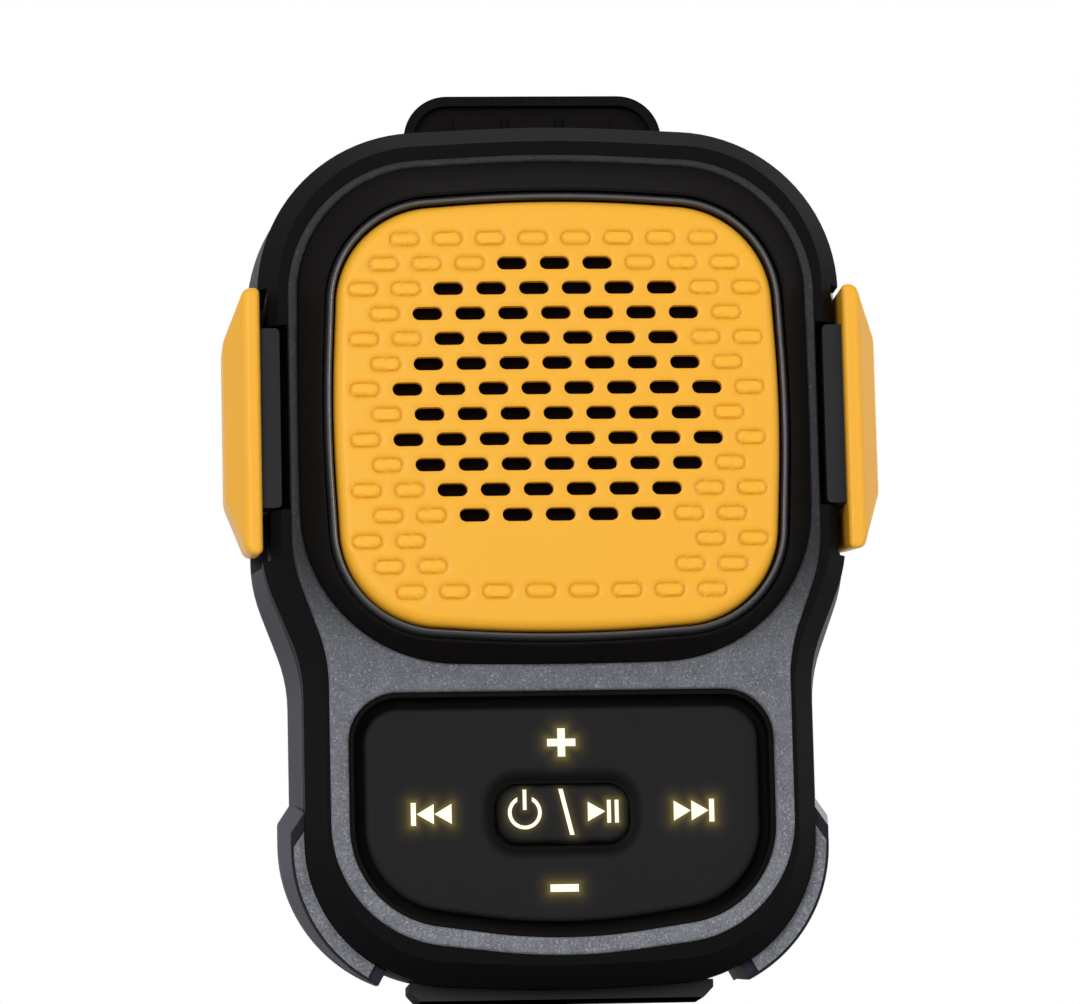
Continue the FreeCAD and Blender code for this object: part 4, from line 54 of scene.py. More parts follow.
# Shapes are worked out in millimetres in the speaker's own frame: x to the right, depth back from the crown
# of the grille, z up from the grille's centre. They are written into the meshes in metres.
MILLIMETRE = 0.001
HALF_DEPTH = 15.0
CENTRE_HEIGHT = 63.2
# Node of the imported solids to its material slot
SLOT_OF = {part["node"]: part["material_slot"] for part in frame["record"]["subparts"]}


# Sizes and colours that a user would change


def length(name, millimetres, description):
    """A length property whose default is given in millimetres."""
    default = millimetres * MILLIMETRE
    return FloatProperty(
        name=name, description=description, default=default, min=0.0, unit="LENGTH", precision=5
    )


def linear(level):
    """One channel of a screen colour, 0 to 255, as the linear light that Blender works in."""
    share = level / 255
    return share / 12.92 if share <= 0.04045 else ((share + 0.055) / 1.055) ** 2.4


def colour(name, red, green, blue, description):
    """A colour property whose default is given as a screen colour, 0 to 255."""
    return FloatVectorProperty(
        name=name,
        description=description,
        default=(linear(red), linear(green), linear(blue)),
        min=0.0,
        max=1.0,
        size=3,
        subtype="COLOR",
    )


class SpeakerSizes(bpy.types.PropertyGroup):
    """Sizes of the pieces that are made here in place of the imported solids."""

    grille_half_width: length("Grille half width", 24.7, "From the grille's middle to a side's middle")
    grille_half_height: length("Grille half height", 24.3, "From the grille's middle to the top's middle")
    grille_corner: length("Grille corner", 11.0, "Radius of the grille's corners")
    grille_bow: length("Grille side bow", 1.1, "How far the sides stand out at their middles")
    grille_end_bow: length("Grille end bow", 1.7, "How far the top and bottom stand out at their middles")
    grille_crown: length("Grille crown", 0.6, "Rise of the grille's pillow")
    grille_edge: length("Grille edge", 1.25, "Width of the grille's rounded edge")
    grille_drop: length("Grille drop", 1.6, "How far the rounded edge falls back")
    slot_length: length("Slot length", 3.3, "Length of a slot of the grille")
    slot_height: length("Slot height", 1.5, "Height of a slot of the grille")
    slot_pitch: length("Slot pitch", 4.7, "Distance between the slots of a row")
    row_pitch: length("Row pitch", 2.797, "Distance between rows of slots")
    pill_length: length("Pill length", 3.2, "Length of a blind pill beside the slots")
    pill_height: length("Pill height", 1.5, "Height of a blind pill")
    pill_rise: length("Pill rise", 0.1, "How far a pill's face stands out")
    groove_depth: length("Groove depth", 0.22, "Depth of the fine groove round a pill")
    groove_width: length("Groove width", 0.22, "Width of the fine groove round a pill")
    trim_gap: length("Trim gap", 0.22, "Dark gap between the grille and its trim ring")
    trim_width: length("Trim width", 0.9, "Width of the trim ring")
    pad_gap: length("Pad gap", 1.7, "Gap between the recess and the rocker pad")
    pad_round: length("Pad rounding", 0.55, "Rounding of the rocker pad's edge")
    key_round: length("Key rounding", 0.75, "Rounding of the centre key's edge")
    moat_width: length("Moat width", 1.7, "Width of the soft dip round the centre key")
    moat_depth: length("Moat depth", 0.85, "Depth of the soft dip round the centre key")
    # The next two sizes set how far painted shade reaches from the dip round the centre key
    shade_width: length("Shade width", 1.5, "How far the dark of that dip reaches over the pad")
    key_shade_width: length("Key shade width", 0.5, "How far the dark of that dip reaches over the key")
    side_pad_round: length("Side pad rounding", 0.6, "Rounding of the side pads' edges")
    frame_round: length("Frame rounding", 0.22, "Rounding of the front frame's edges")


class SpeakerColours(bpy.types.PropertyGroup):
    """Colours of the finishes."""

    yellow: colour("Yellow", 248, 180, 48, "Satin moulded plastic of the grille and the side pads")
    flake_paint: colour("Flake paint", 97, 99, 105, "Charcoal paint of the front frame and inlays")
    flake_fleck: colour("Fleck", 140, 143, 151, "Metal flecks in the paint")
    lip: colour("Lip", 44, 44, 47, "Rough dark paint of the lip round the grille")
    bumper: colour("Bumper", 18, 17, 18, "Satin black rubber of the bumper")
    plastic: colour("Black plastic", 19, 17, 16, "Satin black plastic of the ring and the clip")
    keypad: colour("Keypad", 27, 27, 29, "Soft black rubber of the keypad")
    icon: colour("Icon light", 255, 250, 222, "Light of the keypad's icons")
    halo: colour("Icon halo", 124, 108, 44, "Light that spills round the icons")
    rail: colour("Side rail", 34, 35, 39, "Textured charcoal plastic of the side rails")
    guard: colour("Corner guard", 56, 54, 67, "Smooth violet-grey rubber of the corner guards")
    housing: colour("Housing", 58, 58, 65, "Matt grey plastic of the rear shell")
    # The foot's colour is lighter than its black rubber: painted light that stands in for light on its front
    foot: colour("Foot", 62, 62, 64, "Matt black rubber of the foot")


class StudioSettings(bpy.types.PropertyGroup):
    """Camera, lamps and floor."""

    camera_place: FloatVectorProperty(
        name="Camera place",
        description="Where the camera stands",
        default=(-0.0532, -0.6036, -0.0406),
        subtype="TRANSLATION",
        unit="LENGTH",
        precision=4,
    )
    camera_turn: FloatVectorProperty(
        name="Camera turn",
        description="Which way the camera looks",
        default=[math.radians(angle) for angle in (99.033, 1.315, -4.737)],
        subtype="EULER",
        unit="ROTATION",
    )
    focal_length: FloatProperty(
        name="Focal length", description="Lens, in millimetres", default=183.0, min=10.0
    )
    ambient: FloatProperty(
        name="Ambient light", description="Light from all sides; 1 is white", default=0.52, min=0.0, max=1.0
    )
    floor_colour: colour("Floor", 238, 238, 238, "Plain pale floor")


# Meshes


def to_scene(x, depth, z):
    """Points of the speaker's own frame, in millimetres, as rows of metres in the scene."""
    columns = [np.ravel(x), np.ravel(depth) - HALF_DEPTH, np.ravel(z) + CENTRE_HEIGHT]
    return np.column_stack(columns) * MILLIMETRE


def in_millimetres(context):
    """All the sizes that a user may have changed, in millimetres, by name."""
    sizes = context.scene.speaker_sizes
    return {name: getattr(sizes, name) / MILLIMETRE for name in sizes.__annotations__}


def grid_faces(rows, columns, wrap_rows=False, wrap_columns=False):
    """Quads of a grid of points that are numbered row by row. A wrapped grid joins its last line to its
    first."""
    down = np.arange(rows if wrap_rows else rows - 1)
    along = np.arange(columns if wrap_columns else columns - 1)
    here, there = np.meshgrid(down, along, indexing="ij")
    below = (here + 1) % rows
    beside = (there + 1) % columns
    corners = ((here, there), (here, beside), (below, beside), (below, there))
    return np.stack([(row * columns + column).ravel() for row, column in corners], axis=1)


def thickened(front, back, faces):
    """Closes an open sheet: the same faces again, turned over, on the back points, and a wall along each
    free edge. A free edge is one that no other face runs along the other way. Faces are rows of four; a
    triangle repeats its last corner."""
    starts = faces.ravel()
    ends = np.roll(faces, -1, axis=1).ravel()
    real = starts != ends
    starts, ends = starts[real], ends[real]
    count = len(front)
    forward = starts * count + ends
    free = ~np.isin(forward, ends * count + starts)
    walls = np.stack([ends[free], starts[free], starts[free] + count, ends[free] + count], axis=1)
    points = np.concatenate([front, back])
    return points, np.concatenate([faces, faces[:, ::-1] + count, walls])


def add_object(name, data):
    """A new object at the scene's origin."""
    added = bpy.data.objects.new(name, data)
    bpy.context.scene.collection.objects.link(added)
    return added


finishes = {}


def make_piece(name, points, faces, body, slot_name, replaced, sharp=40.0, finish=None):
    """A mesh object of those points and faces that rides on a body. Points that no face uses are left out.
    Its finish is that of its slot unless another is named."""
    used, renumbered = np.unique(faces, return_inverse=True)
    rows = renumbered.reshape(faces.shape).tolist()
    rows = [row if len(set(row)) == len(row) else sorted(set(row), key=row.index) for row in rows]
    mesh = bpy.data.meshes.new(name)
    mesh.from_pydata(points[used].tolist(), [], rows)
    mesh.validate()
    mesh.shade_smooth()
    mesh.set_sharp_from_angle(angle=math.radians(sharp))
    mesh.materials.append(finishes[finish or slot_name])
    mesh.update()
    piece = add_object(name, mesh)
    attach(piece, body)
    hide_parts(*replaced)
    return piece, used


def make_cover(name, places, depth, back, faces, body, slot_name, replaced, sharp, **levels):
    """A closed piece over places of (x, z), with its front at one depth and its back at another. The mesh
    keeps the levels, one number for each place of the front; the back has none."""
    x, z = places.T
    front_points = to_scene(x, depth, z)
    back_points = to_scene(x, np.broadcast_to(back, depth.shape), z)
    closed, faces = thickened(front_points, back_points, faces)
    piece, used = make_piece(name, closed, faces, body, slot_name, replaced, sharp)
    for label, level in levels.items():
        both = np.concatenate([level, level * 0])[used]
        layer = piece.data.attributes.new(label, "FLOAT", "POINT")
        layer.data.foreach_set("value", both.astype(np.float32))


# Outlines, as corners of (x, z, radius) in millimetres, top to bottom down the right side

# Radii that turn a flat corner in the middle of a side into a bow
BOW = 150
LONG_BOW = 400
LOW_BOW = 60
# Height of the keypad's middle
KEYPAD_CENTRE = -43.4


def both_sides(half):
    """The right half of an outline, and its mirror image back up the left side."""
    half = np.array(half, float)
    mirrored = half[::-1][half[::-1, 0] > 0] * (-1, 1, 1)
    return np.concatenate([half, mirrored])


def rounded_loop(corners, arc_points, side_points):
    """Points along a closed outline. At a corner whose sides turn by an angle a, the arc of radius r touches
    both sides at r tan(a / 2) from the corner, and its points turn about its centre from one to the other.
    Between arcs the points run straight."""
    place = corners[:, :2]
    radius = corners[:, 2:]
    before = place - np.roll(place, 1, axis=0)
    after = np.roll(place, -1, axis=0) - place
    before /= np.linalg.norm(before, axis=1, keepdims=True)
    after /= np.linalg.norm(after, axis=1, keepdims=True)
    turn = np.arctan2(
        before[:, 0] * after[:, 1] - before[:, 1] * after[:, 0], (before * after).sum(axis=1)
    )[:, None]
    reach = radius * np.abs(np.tan(turn / 2))
    start = place - before * reach
    inward = np.column_stack([-before[:, 1], before[:, 0]]) * np.sign(turn)
    spoke = -inward * radius
    angle = turn * np.linspace(0, 1, arc_points)
    turned_x = spoke[:, :1] * np.cos(angle) - spoke[:, 1:] * np.sin(angle)
    turned_z = spoke[:, :1] * np.sin(angle) + spoke[:, 1:] * np.cos(angle)
    arcs = (start - spoke)[:, None] + np.stack([turned_x, turned_z], axis=2)
    share = np.linspace(0, 1, side_points + 2)[1:-1, None]
    next_start = np.roll(arcs[:, 0], -1, axis=0)
    sides = arcs[:, -1][:, None] * (1 - share) + next_start[:, None] * share
    return np.concatenate([arcs, sides], axis=1).reshape(-1, 2)


def grille_corners(size, gap=0.0):
    """The grille's outline, grown by a gap: a square with bowed sides and round corners."""
    wide = size["grille_half_width"] + gap
    high = size["grille_half_height"] + gap
    corner = (wide - size["grille_bow"], high - size["grille_end_bow"], size["grille_corner"] + gap)
    low = (corner[0], -corner[1], corner[2])
    return both_sides([(0, high, BOW), corner, (wide, 0, BOW), low, (0, -high, BOW)])


def ring_corners(gap):
    """The outline of the black ring round the grille, grown by a gap."""
    wide = 27.9 + gap
    half = [
        (0, 29.3 + gap, BOW),
        (wide, 27.7 + gap, 14.3 + gap),
        (28.15 + gap, 0, LONG_BOW),
        (wide, -26.55 - gap, 17 + gap),
        (0, -27.05 - gap, LONG_BOW),
    ]
    return both_sides(half)


def frame_corners():
    """The front frame's outer edge: wide round the grille, a neck, then narrower round the keypad."""
    wide, narrow = 29.2, 25.35
    half = [
        (0, 30.2, BOW),
        (wide, 28.6, 15.3),
        (wide, -15.4, 18),
        (narrow, -25.9, 18),
        (narrow, -56.2, 13.5),
        (0, -59.3, LOW_BOW),
    ]
    return both_sides(half)


def recess_corners(gap=0.0):
    """The outline of the keypad's recess, grown by a gap."""
    wide = 23.35 + gap
    return both_sides(
        [(wide, -29.9 + gap, 5.5 + gap), (wide, -54.2 - gap, 11 + gap), (0, -57.6 - gap, LOW_BOW)]
    )


def key_corners(gap=0.0):
    """The outline of the centre key, grown by a gap."""
    wide, high, radius = 7.2 + gap, 3.2 + gap, 2.3 + gap
    return both_sides([(wide, KEYPAD_CENTRE + high, radius), (wide, KEYPAD_CENTRE - high, radius)])


def outline_gap(points, loop):
    """How far each point lies inside a closed outline, less than 0 outside it, and the nearest spot of the
    outline. The nearest spot is the nearest of the nearest spots of all its straight runs, and a point is
    inside where a line from it to the right crosses the outline an odd number of times."""
    start = loop
    run = np.roll(loop, -1, axis=0) - loop
    gap = np.empty(len(points))
    spot = np.empty_like(points)
    for first in range(0, len(points), CHUNK):
        chunk = points[first : first + CHUNK, None]
        along = ((chunk - start) * run).sum(axis=2) / (run * run).sum(axis=1)
        nearest = start + np.clip(along, 0, 1)[..., None] * run
        away = np.linalg.norm(chunk - nearest, axis=2)
        best = away.argmin(axis=1)
        rows = np.arange(len(best))
        above = start[:, 1] > chunk[..., 1]
        crosses = above != np.roll(above, -1, axis=1)
        with np.errstate(divide="ignore", invalid="ignore"):
            where = start[:, 0] + (chunk[..., 1] - start[:, 1]) / run[:, 1] * run[:, 0]
        inside = (crosses & (chunk[..., 0] < where)).sum(axis=1) % 2 == 1
        gap[first : first + CHUNK] = away[rows, best] * np.where(inside, 1, -1)
        spot[first : first + CHUNK] = nearest[rows, best]
    return gap, spot


def kept_faces(faces, inside):
    """Faces of a snapped grid that lie on the kept side. Where one corner lies outside and the one across
    from it inside, the other three make a triangle. Faces with more corners outside go."""
    margin = 1e-6
    out = inside[faces] < -margin
    well_in = inside[faces] > margin
    whole = faces[~out.any(axis=1) & well_in.any(axis=1)]
    cut = (out.sum(axis=1) == 1) & (np.roll(well_in, 2, axis=1) & out).any(axis=1)
    shift = (out[cut].argmax(axis=1)[:, None] + np.arange(1, 5)) % 4
    turned = np.take_along_axis(faces[cut], shift, axis=1)
    turned[:, 3] = turned[:, 2]
    return np.concatenate([whole, turned])


def snapped(points, inside, spot, spacing):
    """Moves the points that lie within half a spacing of an outline onto it, and sets their distance to 0."""
    near = np.abs(inside) < spacing / 2
    points = np.where(near[:, None], spot, points)
    return points, np.where(near, 0.0, inside)


def cushion_grid(corners, rings, edge, edge_rings):
    """A grid of points over a rounded outline, in rings like those of a square. Inner rings are squares, and
    outer ones turn smoothly into the outline, so the last follows it. The outer rings, over the given edge
    width, crowd toward the outline. Gives the points, the faces and each point's distance from the edge."""
    loop = rounded_loop(corners, 40, 30)
    middle = (loop.max(axis=0) + loop.min(axis=0)) / 2
    half = (loop.max(axis=0) - loop.min(axis=0)) / 2
    unit = (loop - middle) / half
    angle = np.arctan2(unit[:, 1], unit[:, 0])
    order = angle.argsort()
    reach = np.linalg.norm(unit, axis=1)[order]
    angle = angle[order]
    small = half.min()
    inner = np.linspace(0, 1 - edge / small, rings - edge_rings + 1)
    fall = 1 - np.linspace(0, 1, edge_rings + 1)[1:]
    size_of_ring = np.concatenate([inner, 1 - edge / small * fall**1.6])
    steps = np.arange(-rings, rings + 1)
    across, up = np.meshgrid(steps, steps)
    ring = np.maximum(np.abs(across), np.abs(up))
    sideways = np.abs(across) >= np.abs(up)
    share = np.where(sideways, up * np.sign(across), -across * np.sign(up)) / np.maximum(ring, 1)
    side = np.where(sideways, np.where(across >= 0, 0, 2), np.where(up >= 0, 1, 3))
    outline_x = np.empty(ring.shape)
    outline_z = np.empty(ring.shape)
    for number in range(4):
        sweep = np.linspace(-0.25, 0.25, 400) * math.pi + number * math.pi / 2
        radius = np.interp(sweep, angle, reach, period=2 * math.pi)
        arc_x = radius * np.cos(sweep) * half[0]
        arc_z = radius * np.sin(sweep) * half[1]
        walked = np.concatenate([[0], np.hypot(np.diff(arc_x), np.diff(arc_z)).cumsum()])
        walked = walked / walked[-1] * 2 - 1
        here = side == number
        outline_x[here] = np.interp(share[here], walked, arc_x)
        outline_z[here] = np.interp(share[here], walked, arc_z)
    size = size_of_ring[ring]
    blend = soft_step((size - 0.5) / 0.5)
    square_x = np.sign(across) * np.where(side % 2 == 0, 1, np.abs(share)) * half[0]
    square_z = np.sign(up) * np.where(side % 2 == 1, 1, np.abs(share)) * half[1]
    x = middle[0] + size * ((1 - blend) * square_x + blend * outline_x)
    z = middle[1] + size * ((1 - blend) * square_z + blend * outline_z)
    points = np.column_stack([x.ravel(), z.ravel()])
    return points, grid_faces(*ring.shape), ((1 - size) * small).ravel()


def round_edge(distance, width, drop):
    """How far a rounded edge has fallen at a distance from its rim: a quarter of an ellipse."""
    share = np.clip(1 - distance / width, 0, 1)
    return drop * (1 - np.sqrt(1 - share**2))


def soft_step(share):
    """Rises smoothly from 0 to 1 as share goes from 0 to 1."""
    share = np.clip(share, 0, 1)
    return share * share * (3 - 2 * share)


def bell(distance):
    """A bell curve: 1 at no distance, and almost 0 from a distance of 2."""
    return np.exp(-(distance**2))


# Grille

# Open slots in each row of the grille, from the top, and blind pills on each side of them
OPEN_SLOTS = (0, 3, 6, 7, 6, 7, 8, 7, 8, 7, 6, 5, 0, 0, 0)
BLIND_PILLS = (4, 3, 2, 1, 2, 1, 1, 1, 1, 1, 2, 2, 2, 2, 4)
# Places in the rows beside the bare panel
ODD_ROW_PLACES = 10
EVEN_ROW_PLACES = 9
# Spacing of the points of the grille and of the rocker pad, and how many are worked on at once
SPACING = 0.27
CHUNK = 4000
# Depth of the grille's back, thickness of its wall, and how far a slot's rim falls
GRILLE_BACK = 2.5
GRILLE_WALL = 1.0
SLOT_RIM = 0.14


def grille_places(size):
    """Centres of the open slots and of the blind pills, as two arrays of (x, z)."""
    slots = []
    pills = []
    last_row = len(OPEN_SLOTS) - 1
    for row, (open_count, blind_count) in enumerate(zip(OPEN_SLOTS, BLIND_PILLS)):
        places = EVEN_ROW_PLACES if row % 2 else ODD_ROW_PLACES
        if row in (0, last_row):
            places = 2 * blind_count
        across = (np.arange(places) - (places - 1) / 2) * size["slot_pitch"]
        z = (last_row / 2 - row) * size["row_pitch"]
        first = (places - open_count) // 2
        slots += [(x, z) for x in across[first : first + open_count]]
        pills += [(x, z) for x in np.concatenate([across[:blind_count], across[-blind_count:]])]
    return np.array(slots), np.array(pills)


def snapped_to_slots(places, centres, half_run, radius):
    """Moves the places near the edges of round-ended slots onto them, and gives each place's distance to the
    nearest edge, less than 0 inside it. The nearest spot of an edge lies one radius from the slot's middle
    line, in the place's direction."""
    run_x = np.clip(places[:, None, 0] - centres[:, 0], -half_run, half_run)
    core = np.stack([centres[:, 0] + run_x, np.broadcast_to(centres[:, 1], run_x.shape)], axis=2)
    away = np.linalg.norm(places[:, None] - core, axis=2)
    best = away.argmin(axis=1)
    rows = np.arange(len(places))
    core = core[rows, best]
    away = away[rows, best]
    direction = places - core
    flat = away < 1e-9
    direction[flat] = (0, 1)
    direction[~flat] /= away[~flat, None]
    return snapped(places, away - radius, core + direction * radius, SPACING)


def grille_cover(size):
    """The pillow: depth grows with the square of the distance from its centre and its edge falls as a quarter
    ellipse. Slots are cut through it. Each blind pill stands a little out of a fine groove, which starts at
    the pill's edge and rises softly to the pillow. Shade is painted into the groove, and light is painted
    onto the pill's face, which is a little lighter."""
    places, faces, edge = cushion_grid(grille_corners(size), 94, size["grille_edge"], 9)
    slots, pills = grille_places(size)
    radius = size["slot_height"] / 2
    half_run = size["slot_length"] / 2 - radius
    places, to_slot = snapped_to_slots(places, slots, half_run, radius)
    places, to_rim = snapped_to_slots(places, slots, half_run, radius + SPACING)
    groove = size["groove_width"]
    pill_radius = size["pill_height"] / 2
    pill_run = size["pill_length"] / 2 - pill_radius
    places, to_pill = snapped_to_slots(places, pills, pill_run, pill_radius)
    places, _ = snapped_to_slots(places, pills, pill_run, pill_radius + groove)
    reach = (places**2).sum(axis=1) / size["grille_half_width"] ** 2
    depth = size["grille_crown"] * reach + round_edge(edge, size["grille_edge"], size["grille_drop"])
    rim = np.clip(-to_rim / SPACING, 0, 1) ** 2 * SLOT_RIM
    outside = np.clip(1 - to_pill / (groove * 2.5), 0, 1) ** 2 * size["groove_depth"]
    inside = soft_step(-to_pill / groove) * (size["groove_depth"] + size["pill_rise"])
    depth = np.clip(depth + rim + outside - inside, 0.0, GRILLE_BACK - 0.1)
    back = np.minimum(depth + GRILLE_WALL, GRILLE_BACK)
    faces = kept_faces(faces, to_slot)
    # Painted shade along the fine groove round each pill, and painted light on the pill's face
    line = bell(to_pill / groove * 3)
    ties = ("speaker_body", "yellow_plastic", ["grille"], 50.0)
    shade = np.where(to_pill < 0, line - 0.2 * (1 - line), line)
    make_cover("grille_cover", places, depth, back, faces, *ties, shade=shade)


def trim_lip(size):
    """The thin lip round the grille: a section with a rounded crest, carried round between two outlines with
    matching points. Each pair of the section is a share of the way from the inner outline to the outer one,
    and a depth."""
    section = [(0, 2.5), (0, 1.4), (0.06, 1.14), (0.16, 1.02), (0.26, 1.0), (0.38, 1.04), (0.52, 1.18)]
    section += [(0.7, 1.45), (0.88, 1.8), (1, 2.15), (1, 2.5)]
    share, depth = np.array(section[::-1]).T
    gaps = (size["trim_gap"], size["trim_gap"] + size["trim_width"])
    inner, outer = [rounded_loop(grille_corners(size, gap), 24, 16) for gap in gaps]
    across = inner * (1 - share[:, None, None]) + outer * share[:, None, None]
    deep = np.broadcast_to(depth[:, None], across.shape[:2])
    points = to_scene(across[..., 0], deep, across[..., 1])
    faces = grid_faces(*across.shape[:2], wrap_rows=True, wrap_columns=True)
    make_piece("trim_lip", points, faces, "speaker_body", "flake_grey", ["trim_ring"], finish="lip")


# Keypad

# Depths of the rocker pad's and the centre key's faces and backs, and how far their rounded edges fall
PAD_FACE, PAD_BACK, PAD_DROP = 6.34, 7.7, 0.5
KEY_FACE, KEY_BACK, KEY_DROP = 5.94, 7.9, 0.8
# Gap round the key in the pad
KEY_GAP = 0.25


def icon_glow(places, node, wide_share):
    """Light that spills on each place from a node's icons: a narrow and a wide bell curve of the distance
    to the icons' edges."""
    mesh = frame["nodes"][node].data
    corners = np.empty(len(mesh.vertices) * 3)
    mesh.vertices.foreach_get("co", corners)
    corners = corners.reshape(-1, 3) / MILLIMETRE - (0, 0, CENTRE_HEIGHT)
    ends = np.empty(len(mesh.edges) * 2, int)
    mesh.edges.foreach_get("vertices", ends)
    first, second = corners[ends.reshape(-1, 2)][:, :, ::2].transpose(1, 0, 2)
    share = np.linspace(0, 1, 25)[:, None, None]
    samples = np.unique((first * (1 - share) + second * share).reshape(-1, 2).round(2), axis=0)
    glow = np.empty(len(places))
    for start in range(0, len(places), CHUNK):
        away = np.linalg.norm(places[start : start + CHUNK, None] - samples, axis=2).min(axis=1)
        glow[start : start + CHUNK] = 0.42 * bell(away / 0.4) + wide_share * bell(away / 1.1)
    return glow


def rocker_cover(size):
    """The four-way pad: flat, with a rounded edge and a soft dip toward the opening of the centre key. Shade
    is painted into the dip, from 1 at the opening to 0."""
    places, faces, edge = cushion_grid(recess_corners(-size["pad_gap"]), 84, size["pad_round"] * 2, 8)
    inside, spot = outline_gap(places, rounded_loop(key_corners(KEY_GAP), 24, 12))
    places, inside = snapped(places, -inside, spot, SPACING)
    dip = size["moat_depth"] * (1 - soft_step(inside / size["moat_width"]))
    depth = PAD_FACE + dip + round_edge(edge, size["pad_round"], PAD_DROP)
    back = np.maximum(depth + 0.3, PAD_BACK)
    faces = kept_faces(faces, inside)
    ties = ("rocker", "keypad_rubber", ["rocker_pad", "key_seal"], 55.0)
    glow = icon_glow(places, "rocker_icons", 0.2)
    # Painted shade in the dip round the centre key, over the shade width
    shade = 1 - soft_step(inside / size["shade_width"])
    make_cover("rocker_cover", places, depth, back, faces, *ties, glow=glow, shade=shade)


def centre_cover(size):
    """The raised key in the middle: flat, with a well-rounded edge that has painted shade, going from 1 at
    the rim to 0. Its left mark lets out less light."""
    places, faces, edge = cushion_grid(key_corners(), 44, size["key_round"] * 1.2, 10)
    depth = KEY_FACE + round_edge(edge, size["key_round"], KEY_DROP)
    ties = ("centre_button", "keypad_rubber", ["centre_key"], 55.0)
    glow = icon_glow(places, "key_icons", 0.1) * (0.45 + 0.55 * soft_step(places[:, 0] / 3))
    # Painted shade along the key's rounded edge
    shade = 1 - soft_step(edge / size["key_shade_width"])
    make_cover("centre_cover", places, depth, KEY_BACK, faces, *ties, glow=glow, shade=shade)


# Side pads and frame

# Depths of the front frame's face and back, and the spacing of its points
FRAME_FACE, FRAME_BACK = 5.0, 7.2
FRAME_SPACING = 0.2


def side_pad(name, side, size):
    """A faceted block: three four-cornered outlines, at its inner face, its shoulder and its smaller outer
    face, joined by flat sides. The lower back corner is higher than the front one. Edges are bevelled."""
    inner, shoulder, outer = 32.3, 34.0, 36.35
    top, bottom, rise = 15.1, -14.6, 1.6
    top_facet, low_facet = 5.5, 6.8
    noses, tails = (4.6, 8.5), (19.0, 16.0)
    shapes = []
    for x, step in ((inner, 0), (shoulder, 0), (outer, 1)):
        nose, tail = noses[step], tails[step]
        low = bottom + low_facet * step
        high = top - top_facet * step
        lift = rise * (1 - step)
        shapes.append([(x, nose, low), (x, tail, low + lift), (x, tail, high), (x, nose, high)])
    x, depth, z = np.array(shapes).reshape(-1, 3).T
    faces = np.concatenate([grid_faces(3, 4, wrap_columns=True), [[3, 2, 1, 0], [8, 9, 10, 11]]])
    if side > 0:
        faces = faces[:, ::-1]
    points = to_scene(x * side, depth, z)
    ties = (f"{name}_pad", "yellow_plastic", [f"side_pad_{name}"], 180.0)
    piece, _ = make_piece(f"side_cover_{name}", points, faces, *ties)
    bevel = piece.modifiers.new("soft edges", "BEVEL")
    bevel.width = size["side_pad_round"] * MILLIMETRE
    bevel.segments = 4
    bevel.limit_method = "NONE"
    bevel.harden_normals = True


def frame_cover(size):
    """The front frame: a grid cut along its outer edge, the ring's hole and the keypad's hole, with its
    edges rounded off."""
    outer = rounded_loop(frame_corners(), 20, 4)
    holes = [rounded_loop(ring_corners(0.05), 20, 4), rounded_loop(recess_corners(), 20, 4)]
    low, high = outer.min(axis=0) - FRAME_SPACING, outer.max(axis=0) + FRAME_SPACING
    columns, rows = np.ceil((high - low) / FRAME_SPACING).astype(int) + 1
    across, up = np.meshgrid(np.linspace(low[0], high[0], columns), np.linspace(low[1], high[1], rows))
    places = np.column_stack([across.ravel(), up.ravel()])
    inside, spot = outline_gap(places, outer)
    for hole in holes:
        to_hole, hole_spot = outline_gap(places, hole)
        nearer = -to_hole < inside
        inside = np.where(nearer, -to_hole, inside)
        spot = np.where(nearer[:, None], hole_spot, spot)
    places, inside = snapped(places, inside, spot, FRAME_SPACING)
    depth = FRAME_FACE + round_edge(inside, size["frame_round"], size["frame_round"])
    faces = kept_faces(grid_faces(rows, columns), inside)
    ties = ("speaker_body", "flake_grey", ["front_frame"], 60.0)
    make_cover("frame_cover", places, depth, FRAME_BACK, faces, *ties)


# Shader nodes


def feed(node, inputs):
    """Gives a node's inputs, by name or number, plain values or links from other nodes' outputs."""
    for name, level in inputs.items():
        if isinstance(level, bpy.types.NodeSocket):
            node.id_data.links.new(level, node.inputs[name])
        else:
            node.inputs[name].default_value = level


def add_node(tree, kind, inputs=(), **settings):
    """A new shader node with its settings and inputs."""
    node = tree.nodes.new(kind)
    for name, setting in settings.items():
        setattr(node, name, setting)
    feed(node, dict(inputs))
    return node


def node_of(tree, kind):
    """The first node of a kind in a tree."""
    return next(node for node in tree.nodes if node.type == kind)


def worked_out(tree, operation, *inputs):
    """A number worked out from one to three others."""
    return add_node(tree, "ShaderNodeMath", enumerate(inputs), operation=operation).outputs[0]


def scaled(tree, triple, share):
    """A colour or a place times a number."""
    inputs = {0: triple, "Scale": share}
    return add_node(tree, "ShaderNodeVectorMath", inputs, operation="SCALE").outputs[0]


def mapped(tree, level, limits, **settings):
    """A number moved from its place between the first two limits to the same place between the last two."""
    inputs = dict(zip(("From Min", "From Max", "To Min", "To Max"), limits))
    return add_node(tree, "ShaderNodeMapRange", {"Value": level, **inputs}, **settings).outputs["Result"]


def noise(tree, place, scale, detail, roughness=0.5):
    """Soft noise whose middle is a half."""
    inputs = {"Vector": place, "Scale": scale, "Detail": detail, "Roughness": roughness}
    return add_node(tree, "ShaderNodeTexNoise", inputs).outputs["Fac"]


# Shared node groups: each puts out a colour, a value or a height that changes over the surface


